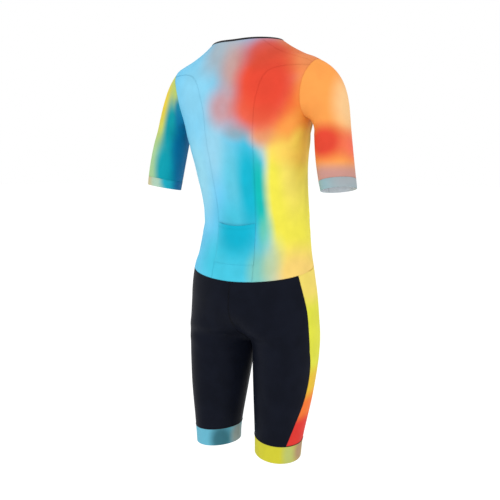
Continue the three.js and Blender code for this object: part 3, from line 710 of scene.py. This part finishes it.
SLEEVE_LEFT_FIELDS = (
    ((262, 50, 900), (90, 140, 130), (246, 212, 44), 1.0, 0.3),
    ((240, 80, 720), (40, 80, 120), (166, 210, 160), 0.9, 0.2),
    ((194, 60, 800), (34, 70, 120), (0, 158, 170), 1.0, 0.4),
    ((212, 60, 700), (36, 70, 130), (0, 164, 180), 1.0, 0.4),
    ((168, 56, 850), (22, 70, 54), (0, 140, 166), 1.0, 0.4),
    ((174, 28, 816), (24, 80, 92), (0, 122, 168), 1.0, 0.4),
    ((186, 16, 760), (26, 80, 92), (0, 122, 168), 1.0, 0.4),
    ((196, 10, 700), (27, 64, 120), (0, 122, 168), 1.0, 0.4),
)
POCKET_FIELDS = (*BODICE_FIELDS, ((-6, 100, 562), (90, 100, 90), (0, 180, 210), 1.0, 0.3))
PANEL_RIGHT_BASE = (228, 228, 66)
PANEL_RIGHT_FIELDS = (
    ((-165, 0, 450), (90, 200, 80), (246, 222, 108), 1.0, 0.3),
    ((-165, 0, 186), (120, 260, 60), (240, 196, 50), 1.0, 0.3),
    ((-160, 0, 122), (120, 260, 62), (250, 122, 48), 1.0, 0.4),
    ((-150, 20, 50), (120, 260, 76), (226, 54, 46), 1.0, 0.6),
)
PANEL_LEFT_BASE = (70, 200, 230)
PANEL_LEFT_FIELDS = (
    ((165, 0, 440), (90, 200, 110), (112, 205, 245), 1.0, 0.2),
    ((160, 0, 190), (120, 260, 110), (0, 180, 190), 1.0, 0.2),
    ((150, 20, 60), (120, 260, 90), (0, 110, 160), 1.0, 0.2),
)
BAND_LEG_RIGHT_BASE = (212, 206, 52)
BAND_LEG_RIGHT_FIELDS = (
    ((-138, 50, 22), (22, 44, 60), (186, 196, 112), 0.9, 0.2),
    ((-152, 14, 22), (22, 44, 60), (176, 142, 112), 0.95, 0.3),
)
BAND_LEG_LEFT_BASE = (104, 184, 208)
BAND_LEG_LEFT_FIELDS = (
    ((52, 64, 22), (36, 60, 60), (50, 108, 122), 0.95, 0.3),
    ((28, 18, 22), (20, 40, 60), (150, 160, 156), 0.9, 0.3),
    ((70, -30, 22), (60, 50, 60), (214, 90, 70), 0.7, 0.2),
)
BAND_SLEEVE_RIGHT_BASE = (150, 182, 188)
BAND_SLEEVE_RIGHT_FIELDS = (((-262, 30, 685), (40, 90, 40), (176, 168, 172), 0.8, 0.2),)
BAND_SLEEVE_LEFT_BASE = (206, 196, 150)
BAND_SLEEVE_LEFT_FIELDS = (
    ((232, 84, 680), (26, 60, 50), (180, 214, 190), 1.0, 0.2),
    ((208, 60, 680), (24, 60, 50), (30, 184, 204), 1.0, 0.35),
    ((204, 10, 670), (22, 54, 50), (0, 112, 158), 1.0, 0.4),
)
# The finish of the printed cloth, of the bands and of the threads: roughness, pitch and strength of the knit
CLOTH_LOOK = (0.62, 1.1, 0.1)
LEG_BAND_LOOK = (0.6, 2.2, 0.35)
SLEEVE_BAND_LOOK = (0.6, 2.2, 0.3)
THREAD_LOOK = (0.7, 0.7, 0.2)
PRINT_SPECULAR = 0.1
# How much of its own colour the cloth gives back under these lights
PRINT_GAIN = 0.8
# How bright the cloth is next to a seam, where shade is painted into its colour
PRINT_PAINTED_SEAM_SHADE = 0.96
PLAIN_PAINTED_SEAM_SHADE = 0.8


def print_material(name, base, fields, look=CLOTH_LOOK):
    roughness, pitch, strength = look
    graph = Graph(name, roughness, PRINT_SPECULAR)
    place = graph.place()
    colour = field_print(graph, place, base, fields)
    colour = graph.mix(1.0, colour, (PRINT_GAIN, PRINT_GAIN, PRINT_GAIN, 1.0), "MULTIPLY")
    colour = graph.knit(place, colour, pitch, strength)
    return graph.finish(graph.painted_seam_shade(colour, PRINT_PAINTED_SEAM_SHADE))


def print_pair(name, left, right, look=CLOTH_LOOK):
    """The materials of the two halves, each from its ground colour and its spots."""
    tables = zip(SIDES, (left, right))
    return {side: print_material(f"{name}_{side}", *table, look) for side, table in tables}


def plain_material(name, rgb, roughness, specular, pitch, strength, mottle=0.035):
    graph = Graph(name, roughness, specular)
    place = graph.place()
    colour = graph.knit(place, linear(rgb), pitch, strength, mottle)
    return graph.finish(graph.painted_seam_shade(colour, PLAIN_PAINTED_SEAM_SHADE))


sleeves = (SLEEVE_LEFT_BASE, SLEEVE_LEFT_FIELDS), (SLEEVE_RIGHT_BASE, SLEEVE_RIGHT_FIELDS)
panels = (PANEL_LEFT_BASE, PANEL_LEFT_FIELDS), (PANEL_RIGHT_BASE, PANEL_RIGHT_FIELDS)
leg_bands = (BAND_LEG_LEFT_BASE, BAND_LEG_LEFT_FIELDS), (BAND_LEG_RIGHT_BASE, BAND_LEG_RIGHT_FIELDS)
sleeve_bands = (
    (BAND_SLEEVE_LEFT_BASE, BAND_SLEEVE_LEFT_FIELDS),
    (BAND_SLEEVE_RIGHT_BASE, BAND_SLEEVE_RIGHT_FIELDS),
)
bodice = print_material("printed_knit_bodice", BODICE_BASE, BODICE_FIELDS)
sleeve_print = print_pair("printed_knit_sleeve", *sleeves)
pocket_print = print_material("printed_knit_pocket", BODICE_BASE, POCKET_FIELDS)
panel_print = print_pair("printed_knit_panel", *panels)
leg_band_print = print_pair("gripper_leg", *leg_bands, LEG_BAND_LOOK)
sleeve_band_print = print_pair("gripper_sleeve", *sleeve_bands, SLEEVE_BAND_LOOK)
black_knit = plain_material("black_knit", (15, 18, 28), 0.5, 0.035, 1.1, 0.12, mottle=0.12)
inside_knit = plain_material("inside_knit", (205, 212, 218), 0.8, 0.1, 1.1, 0.1)
inside_black = plain_material("inside_black", (34, 36, 44), 0.8, 0.1, 1.1, 0.1)
binding_knit = plain_material("neck_binding", (22, 22, 26), 0.6, 0.2, 1.4, 0.2)
tape_weave = plain_material("zip_tape", (20, 20, 24), 0.7, 0.2, 0.8, 0.3)
nylon = plain_material("zip_nylon", (30, 31, 34), 0.35, 0.5, 5.0, 0.0)
coated = plain_material("zip_coated_metal", (30, 31, 34), 0.32, 0.5, 6.0, 0.02)
thread_black = plain_material("thread_black", (18, 19, 24), 0.6, 0.2, 0.7, 0.2)
thread_print = print_material("thread_print", BODICE_BASE, BODICE_FIELDS, THREAD_LOOK)
thread_sleeve = print_pair("thread_sleeve", *sleeves, THREAD_LOOK)


# Panels of the bodice
# The right half of the back's creases comes from its own points, mirrored to the left half
def back_lift(points):
    left = crease_lift(points, False)
    right = crease_lift(points * np.array([-1, 1, 1]), True)
    return np.where(points[..., 0] > 0, left, right)


points, normals = on_figure(resample(back_grid))
shell("back_centre", points, normals, back_lift(points), bodice, inside_knit)


def panel_pair(name, grid, outside, inside):
    points, normals = on_figure(resample(grid))
    for side in SIDES:
        mirror = side == "right"
        front = outside[side] if isinstance(outside, dict) else outside
        shell(f"{name}_{side}", points, normals, crease_lift(points, mirror), front, inside, mirror)


panel_pair("back_side", side_back_grid, bodice, inside_knit)
panel_pair("front", front_grid, bodice, inside_knit)

# Sleeves: the cap and the arm in one piece, closed by an underarm seam, and the hem band
CAP_ROWS = 6 * FINE
ARM_ROWS = 5 * FINE
LOWER_ARM = math.hypot(ARM_RINGS[2][0] - ARM_RINGS[1][0], ARM_RINGS[2][2] - ARM_RINGS[1][2])
BAND_SHARE = 1 - SLEEVE_BAND / LOWER_ARM
BAND_AT = 0.5 + BAND_SHARE / 2
UNDERARM_TURN = SIDE_TURN - 360
RIM_BLEND_WIDTH = 4.0
# How deep the creases of each sleeve are
SLEEVE_CREASING = {"left": 0.85, "right": 1.0}


def armhole_normals(turn):
    along, normals = armhole_frame(turn)
    return unit(normals + unit(np.cross(sleeve_start(turn), along)))


def sleeve_grid(first, last, count):
    return [arm_ring(arm_at(share), sleeve_turns) for share in np.linspace(first, last, count + 1)]


# Creases of the sleeve: each from one turn and share of the arm to another, its depth and half width
SLEEVE_CREASES = (
    ((196, 0.06), (128, 0.42), 2.2, 9),
    ((215, 0.10), (262, 0.46), 2.4, 9),
    ((175, 0.30), (120, 0.62), 1.3, 9),
    ((225, 0.40), (290, 0.72), 1.4, 10),
    ((60, 0.52), (110, 0.70), 0.9, 12),
)


def sleeve_lift(points, scale):
    lift = np.zeros(points.shape[:2])
    rows = points.shape[0] - 1
    for (turn0, share0), (turn1, share1), depth, width in SLEEVE_CREASES:
        route = []
        for t in np.linspace(0, 1, CREASE_STEPS):
            row = int(round((1 - (share0 + (share1 - share0) * t)) * rows))
            turn = (turn0 + (turn1 - turn0) * t - UNDERARM_TURN) % 360 + UNDERARM_TURN
            route.append(points[row, int(np.argmin(np.abs(sleeve_turns - turn)))])
        lift -= trough(points, np.array(route), scale * depth, width)
    return lift


arm_rows = sleeve_grid(0, BAND_AT, ARM_ROWS)
sleeve_points = np.array([*cap_rows(sleeve_turns, CAP_ROWS), *arm_rows[1:]])[::-1]
sleeve_normals = ring_normals(sleeve_points)
rim = armhole_normals(sleeve_turns)
from_rim = np.linalg.norm(sleeve_points - sleeve_points[-1:], axis=2)[..., None]
near_rim = np.exp(-((from_rim / RIM_BLEND_WIDTH) ** 2))
sleeve_normals = unit(sleeve_normals * (1 - near_rim) + rim[None] * near_rim)
band_points = np.array(sleeve_grid(BAND_AT, 1, FINE))[::-1]
band_normals = ring_normals(band_points)


p, n = resample(sleeve_points), unit(resample(sleeve_normals))
band_p, band_n = resample(band_points), unit(resample(band_normals))
for side in SIDES:
    mirror = side == "right"
    lift = resample(sleeve_lift(sleeve_points, SLEEVE_CREASING[side])[..., None])[..., 0]
    shell(f"sleeve_{side}", p, n, lift, sleeve_print[side], inside_knit, mirror)
    shell(
        f"sleeve_band_{side}", band_p, band_n, SLEEVE_BAND_LIFT, sleeve_band_print[side], inside_knit,
        mirror, BAND_EDGES, BAND_CLOTH,
    )

# Shorts
LEG_ROWS = 7 * FINE
SEAT_ROWS = 10 * FINE
SEAT_ROW_CROWDING = 1.6


def hem_level(angle):
    return LEG_HEM_RISE * np.cos(np.radians(angle)) ** 2


def shorts_level(angle, row):
    bottom = hem_level(angle) + LEG_BAND
    if row <= LEG_ROWS:
        return bottom + (CROTCH_HEIGHT - bottom) * row / LEG_ROWS
    share = ((row - LEG_ROWS) / SEAT_ROWS) ** SEAT_ROW_CROWDING
    return CROTCH_HEIGHT + (waist_level(angle) - CROTCH_HEIGHT) * share


def panel_edge(column_index):
    fine = smooth([(row[column_index], row[0]) for row in SIDE_PANEL])
    return lambda level: float(np.interp(level, fine[:, 1], fine[:, 0]))


def shorts_grid(start, end, count):
    rows = []
    for row in range(LEG_ROWS + SEAT_ROWS + 1):
        level = shorts_level(90, row)
        angle = np.linspace(start(level), end(level), count + 1)
        rows.append(np.stack([angle, shorts_level(angle, row)], -1))
    return np.array(rows)


panel_back, panel_front = panel_edge(1), panel_edge(2)
shorts_front_grid = shorts_grid(lambda level: 0, panel_front, 8 * FINE)
side_panel_grid = shorts_grid(panel_front, panel_back, 4 * FINE)
shorts_back_grid = shorts_grid(panel_back, lambda level: 180, 8 * FINE)
panel_pair("shorts_front", shorts_front_grid, black_knit, inside_black)
panel_pair("side_panel", side_panel_grid, panel_print, inside_knit)
panel_pair("shorts_back", shorts_back_grid, black_knit, inside_black)

# Leg bands, a little proud of the shorts
band_parts = [shorts_front_grid[0, :, 0], side_panel_grid[0, 1:, 0], shorts_back_grid[0, 1:, 0]]
band_angles = np.concatenate(band_parts)
band_shares = np.linspace(0, 1, 2 * FINE + 1)
leg_band_grid = np.array(
    [np.stack([band_angles, hem_level(band_angles) + LEG_BAND * s], -1) for s in band_shares]
)
p, n = on_figure(resample(leg_band_grid))
for side in SIDES:
    shell(
        f"leg_band_{side}", p, n, LEG_BAND_LIFT, leg_band_print[side], inside_knit,
        side == "right", BAND_EDGES, BAND_CLOTH,
    )


# Pocket on the lower back, its mouth a little open under an elastic hem: how far it lies off the
# back, how much farther at its mouth, and how far it is drawn in where it is sewn
POCKET_LIFT = 2.5
POCKET_GAPE = 2.4
POCKET_SEWN = 1.7
POCKET_SEWN_WIDTH = 4.0


def pocket_grid(shares):
    rows = []
    across = np.linspace(-1, 1, back_grid.shape[1])
    for share in shares:
        row = (POCKET_ROWS[0] + (POCKET_ROWS[1] - POCKET_ROWS[0]) * share) * FINE
        k = int(row)
        point = back_grid[k] * (1 - (row - k)) + back_grid[k + 1] * (row - k)
        point = point - np.stack([0 * across, POCKET_DIP * (1 - across**2) * share**2], -1)
        rows.append(point)
    return np.array(rows), across


def pocket_piece(node, first, last, count, sewn_edges, edges):
    shares = np.linspace(first, last, count + 1)
    grid, across = pocket_grid(shares)
    lift = POCKET_LIFT + POCKET_GAPE * (1 - across[None, :] ** 2) * shares[:, None] ** 2
    p, n = on_figure(resample(grid))
    distance = edge_distance(p)
    sewn = np.min([distance[k] for k in sewn_edges], axis=0)
    lift = resample(lift[..., None])[..., 0] - POCKET_SEWN * np.exp(-((sewn / POCKET_SEWN_WIDTH) ** 2))
    shell(node, p, n, lift, pocket_print, inside_knit, edges=edges)


pocket_piece("pocket", 0, 1 - POCKET_HEM, 4 * FINE, ("left", "right", "low"), ("low", "high"))
pocket_piece("pocket_hem", 1 - POCKET_HEM, 1, FINE // 2 + 2, ("left", "right"), ("low",))


# Tubes along a path, for threads, piping and the neck binding
def ring_faces(rings, sides, closed=False):
    """Faces between rings of vertices, with a cap on each end unless they close on themselves."""
    faces = []
    for i in range(rings if closed else rings - 1):
        j = (i + 1) % rings
        for k in range(sides):
            m = (k + 1) % sides
            faces.append((i * sides + k, i * sides + m, j * sides + m, j * sides + k))
    if not closed:
        faces.append(tuple(range(sides))[::-1])
        faces.append(tuple((rings - 1) * sides + k for k in range(sides)))
    return faces


def tube(points, radius, sides, closed=False):
    p = np.asarray(points, float)
    along = unit(np.roll(p, -1, 0) - np.roll(p, 1, 0)) if closed else unit(np.gradient(p, axis=0))
    up = np.where(np.abs(along[:, 2:]) > 0.9, np.array([1.0, 0, 0]), np.array([0, 0, 1.0]))
    side = unit(np.cross(along, up))
    other = np.cross(side, along)
    turn = np.arange(sides) * 2 * math.pi / sides
    ring = side[:, None] * np.cos(turn)[None, :, None] + other[:, None] * np.sin(turn)[None, :, None]
    return (p[:, None] + radius * ring).reshape(-1, 3), ring_faces(len(p), sides, closed)


def merged_piece(name, parts, material, mirror_copy=False):
    verts, faces, start = [], [], 0
    for v, f in parts:
        verts.append(v)
        faces += [tuple(start + k for k in face) for face in f]
        start += len(v)
    if mirror_copy:
        base = np.concatenate(verts)
        verts.append(base * np.array([-1, 1, 1]))
        faces += [tuple(start + k for k in face)[::-1] for face in faces]
    obj = mesh_piece(name, to_scene(np.concatenate(verts)), faces, [material])
    return obj


def walk(points, pitch):
    """Evenly spaced places along a path, as shares of its index."""
    length = lengths_along(points)
    count = max(2, int(length[-1] / pitch))
    return np.interp(np.linspace(0, length[-1], count + 1), length, np.arange(len(points)))


def at(values, where):
    k = np.clip(where.astype(int), 0, len(values) - 2)
    share = (where - k)[:, None]
    return values[k] * (1 - share) + values[k + 1] * share


THREAD_SIDES = 4
FILL_SIDES = 6


def flatlock(points, normals, width=3.0, pitch=1.5, radius=0.2, lift=-0.04):
    """A zigzag thread over a seam, on a thicker one that fills the seam."""
    where = walk(points, pitch)
    p, n = at(points, where), unit(at(normals, where))
    along = unit(np.gradient(p, axis=0))
    side = np.cross(n, along)
    swing = np.where(np.arange(len(p)) % 2 == 0, 0.5, -0.5)[:, None] * width
    verts, faces = tube(p + side * swing + n * lift, radius, THREAD_SIDES)
    filling = walk(points, 3 * pitch)
    p, n = at(points, filling), unit(at(normals, filling))
    more, joins = tube(p + n * (lift - SEAM_FILL), SEAM_FILL, FILL_SIDES)
    joins = [tuple(len(verts) + k for k in face) for face in joins]
    return np.concatenate([verts, more]), faces + joins


body_seams = [princess, side_seam, shoulder_seam]
body_threads = [flatlock(*on_figure(path)) for path in body_seams]
waist_front = waist_path(0.5, SIDE_PANEL[-1][2], 8 * FINE)
waist_side = waist_path(SIDE_PANEL[-1][2], SIDE_PANEL[-1][1], 5 * FINE)
waist_back = waist_path(SIDE_PANEL[-1][1], 180, 10 * FINE)
body_threads.append(flatlock(*on_figure(waist_side)))
armhole_turns = np.linspace(SIDE_TURN - 360, SIDE_TURN, 20 * FINE)
armhole_path = figure(*armhole_chart(armhole_turns).T)
body_threads.append(flatlock(armhole_path, armhole_normals(armhole_turns)))
body_seam_threads = merged_piece(
    "bodice_seam_threads", body_threads, thread_print, mirror_copy=True
)
shorts_seams = (
    waist_front,
    waist_back,
    shorts_front_grid[:, -1],
    shorts_back_grid[:, 0],
    shorts_back_grid[:, -1],
    shorts_front_grid[:, 0],
)
shorts_threads = [flatlock(*on_figure(path)) for path in shorts_seams]
waist_threads = merged_piece(
    "shorts_seam_threads", shorts_threads, thread_black, mirror_copy=True
)
for side in SIDES:
    underarm = flatlock(sleeve_points[:, 0], sleeve_normals[:, 0])
    band_seam = flatlock(sleeve_points[0], sleeve_normals[0], width=2.4)
    parts = [(v * np.array([-1 if side == "right" else 1, 1, 1]), f) for v, f in (underarm, band_seam)]
    merged_piece(
        f"sleeve_seam_threads_{side}", parts, thread_sleeve[side]
    )

# Black piping between the shorts and the leg bands
PIPING_LIFT = 0.1
PIPING_RADIUS = 0.9
PIPING_SIDES = 8
piping_points, piping_normals = on_figure(leg_band_grid[-1])
piping_line = piping_points[:-1] + piping_normals[:-1] * PIPING_LIFT
piping = tube(piping_line, PIPING_RADIUS, PIPING_SIDES, closed=True)
piping = merged_piece("leg_band_piping", [piping], thread_black, mirror_copy=True)

# Collar: a rolled binding round the neck, open at the zip
back_neck = neck_path(SHOULDER_NECK_ANGLE, 360 - SHOULDER_NECK_ANGLE, 16 * FINE)
neck_line = joined(front_neck, back_neck, mirrored_path(front_neck)[::-1])
COLLAR_SIDES = 22
# The binding's section: how square it is each way, its place and half thickness, and how it thins
COLLAR_SQUARE_UP, COLLAR_SQUARE_OUT = 0.6, 0.7
COLLAR_PLACE, COLLAR_HALF, COLLAR_THIN = -0.75, 1.2, 0.25
COLLAR_STITCH_LEVEL = 1.3
collar_turn = np.arange(COLLAR_SIDES) * 2 * math.pi / COLLAR_SIDES
collar_up = COLLAR_HEIGHT / 2 * (1 + signed_power(np.cos(collar_turn), COLLAR_SQUARE_UP))
collar_out = COLLAR_PLACE + COLLAR_HALF * signed_power(np.sin(collar_turn), COLLAR_SQUARE_OUT)
collar_out = collar_out - COLLAR_THIN * np.abs(np.cos(collar_turn))
collar_chart = neck_line[:, None] + np.stack([0 * collar_up, collar_up], -1)[None]
collar_points, collar_normals = on_figure(collar_chart)
collar_points = collar_points + collar_normals * collar_out[None, :, None]
rings = len(neck_line)
collar_faces = [(f[0], *f[:0:-1]) for f in ring_faces(rings, COLLAR_SIDES)[:-2]]
collar_faces.append(tuple(range(COLLAR_SIDES)))
collar_faces.append(tuple((rings - 1) * COLLAR_SIDES + k for k in reversed(range(COLLAR_SIDES))))
collar_parts = [(collar_points.reshape(-1, 3), collar_faces)]
collar = merged_piece("neck_binding", collar_parts, binding_knit)
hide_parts("collar")
stitch_path, stitch_normals = on_figure(neck_line + np.array([0, COLLAR_STITCH_LEVEL]))
collar_stitches = [flatlock(stitch_path, stitch_normals, width=1.2, pitch=1.4, radius=0.22, lift=0.45)]
collar_threads = merged_piece("neck_binding_threads", collar_stitches, thread_black)

# Zip: tapes and teeth
TAPE_THICKNESS = 0.8
TAPE_COLUMNS = 7
TEETH_PITCH = 1.7
# A tooth's rings: their places across the zip and their radii, and how far out and how tall they are
TOOTH_PLACES = np.array([-0.7, -0.2, 0.6, 1.6, 2.3])
TOOTH_RADII = (0.35, 0.62, 0.5, 0.5, 0.3)
TOOTH_SIDES = 8
TOOTH_LIFT = 0.85
TOOTH_HEIGHT = 1.05
ACROSS = np.array([1.0, 0, 0])
tape_levels = np.linspace(waist_level(0), neck_level(0) + COLLAR_HEIGHT, ZIP_STEPS + 1)
tape_across = np.linspace(0, ZIP_HALF_WIDTH, TAPE_COLUMNS)
tape_grid = np.array([zip_chart(tape_across, np.full(TAPE_COLUMNS, level)) for level in tape_levels])
p, n = on_figure(tape_grid)
for side in SIDES:
    shell(
        f"zip_tape_{side}", p, n, 0, tape_weave, tape_weave, side == "right",
        ("right",), TAPE_THICKNESS, "weave",
    )
zip_line = figure(np.zeros(ZIP_STEPS + 1), zip_levels)
zip_out = figure_normal(np.zeros(ZIP_STEPS + 1), zip_levels)
where = walk(zip_line, TEETH_PITCH)[1:-1]
tooth_at, tooth_out = at(zip_line, where), unit(at(zip_out, where))
teeth = []
for i, (centre, out) in enumerate(zip(tooth_at, tooth_out)):
    hand = 1 if i % 2 else -1
    up = unit(np.cross(out, ACROSS))
    turn = np.arange(TOOTH_SIDES) * 2 * math.pi / TOOTH_SIDES
    ring = np.cos(turn)[:, None] * up * TOOTH_HEIGHT + np.sin(turn)[:, None] * out
    rows = zip(TOOTH_PLACES * hand, TOOTH_RADII)
    verts = np.concatenate([centre + out * TOOTH_LIFT + ACROSS * x + ring * r for x, r in rows])
    faces = ring_faces(len(TOOTH_RADII), TOOTH_SIDES)
    teeth.append((verts, faces if hand > 0 else [f[::-1] for f in faces]))
zip_teeth = merged_piece("zip_teeth", teeth, nylon)
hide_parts("zip_coils")

for node in ("zip_slider", "zip_pull"):
    obj = bpy.data.objects[node]
    for k in range(len(obj.material_slots)):
        obj.material_slots[k].material = coated


def cut(name):
    """Width, length and area of a panel's cloth in metres, from the outer face of its shell."""
    obj = pieces[name]
    rows, cols = panel_sizes[name]
    v = np.empty(len(obj.data.vertices) * 3)
    obj.data.vertices.foreach_get("co", v)
    p = v.reshape(-1, 3)[: rows * cols].reshape(rows, cols, 3)
    width = np.linalg.norm(np.diff(p, axis=1), axis=2).sum(1).max()
    length = np.linalg.norm(np.diff(p[:, cols // 2], axis=0), axis=1).sum()
    first = np.cross(p[:-1, 1:] - p[:-1, :-1], p[1:, 1:] - p[:-1, :-1])
    second = np.cross(p[1:, 1:] - p[:-1, :-1], p[1:, :-1] - p[:-1, :-1])
    area = (np.linalg.norm(first, axis=2).sum() + np.linalg.norm(second, axis=2).sum()) / 2
    return float(width), float(length), float(min(area, width * length))


for name, obj in pieces.items():
    if name == "pocket_hem" or name.startswith("zip_tape"):
        continue
    kind, _, side = name.rpartition("_") if name.endswith(("_left", "_right")) else (name, "", "")
    width, length, area = cut(name)


# The studio: a pale floor below the suit, soft light, and the camera
FLOOR_HALF = 40
FLOOR_LEVEL = -1.25
corners = [(x * FLOOR_HALF, y * FLOOR_HALF, 0) for x, y in ((-1, -1), (1, -1), (1, 1), (-1, 1))]
floor_mesh = bpy.data.meshes.new("studio_floor")
floor_mesh.from_pydata(corners, [], [(0, 1, 2, 3)])
floor = bpy.data.objects.new("studio_floor", floor_mesh)
floor.location.z = FLOOR_LEVEL
bpy.context.scene.collection.objects.link(floor)
floor_graph = Graph("studio_floor", 0.9, 0.0)
floor_graph.put(floor_graph.shader.inputs["Emission Color"], (1, 1, 1, 1))
floor_graph.put(floor_graph.shader.inputs["Emission Strength"], 0.3)
floor_mesh.materials.append(floor_graph.finish((0.8, 0.8, 0.8, 1)))

world = bpy.data.worlds.new("studio")
bpy.context.scene.world = world
world.use_nodes = True
background = world.node_tree.nodes["Background"]
background.inputs["Color"].default_value = (1, 1, 1, 1)
background.inputs["Strength"].default_value = 1.0
bpy.context.scene.view_settings.view_transform = "Standard"


def softbox(name, place, target, size, power):
    light = bpy.data.lights.new(name, "AREA")
    light.shape = "RECTANGLE"
    light.size, light.size_y = size
    light.energy = power
    obj = bpy.data.objects.new(name, light)
    obj.location = place
    obj.rotation_euler = (Vector(target) - Vector(place)).to_track_quat("-Z", "Y").to_euler()
    bpy.context.scene.collection.objects.link(obj)


softbox("key_softbox", (-0.6, 2.6, 1.1), (0, 0, -0.35), (1.6, 1.6), 16)
softbox("side_softbox", (-2.4, 0.6, 0.2), (0, 0, -0.45), (1.0, 2.0), 6)
softbox("far_softbox", (2.2, 1.2, 0.6), (0, 0, -0.4), (1.0, 2.0), 4)

# The camera, as fitted to the photograph
CAMERA_AZIMUTH = math.radians(211)
CAMERA_DISTANCE = 1.5
CAMERA_HEIGHT = -0.262
CAMERA_PAN = math.radians(0.48)
CAMERA_TILT = math.radians(7.24)
PHOTO_HALF_WIDTH = 250
FOCAL_PIXELS = 611.5
CAMERA_FIELD = 2 * math.atan(PHOTO_HALF_WIDTH / FOCAL_PIXELS)
outward = Vector((math.sin(CAMERA_AZIMUTH), -math.cos(CAMERA_AZIMUTH), 0))
rightward = Vector((-outward.y, outward.x, 0))
level_view = -outward * math.cos(CAMERA_PAN) + rightward * math.sin(CAMERA_PAN)
view = level_view * math.cos(CAMERA_TILT) - Vector((0, 0, 1)) * math.sin(CAMERA_TILT)
camera = bpy.data.objects.new("camera", bpy.data.cameras.new("camera"))
camera.location = outward * CAMERA_DISTANCE + Vector((0, 0, CAMERA_HEIGHT))
camera.rotation_euler = view.to_track_quat("-Z", "Y").to_euler()
camera.data.sensor_fit = "HORIZONTAL"
camera.data.angle = CAMERA_FIELD
bpy.context.scene.collection.objects.link(camera)
bpy.context.scene.camera = camera
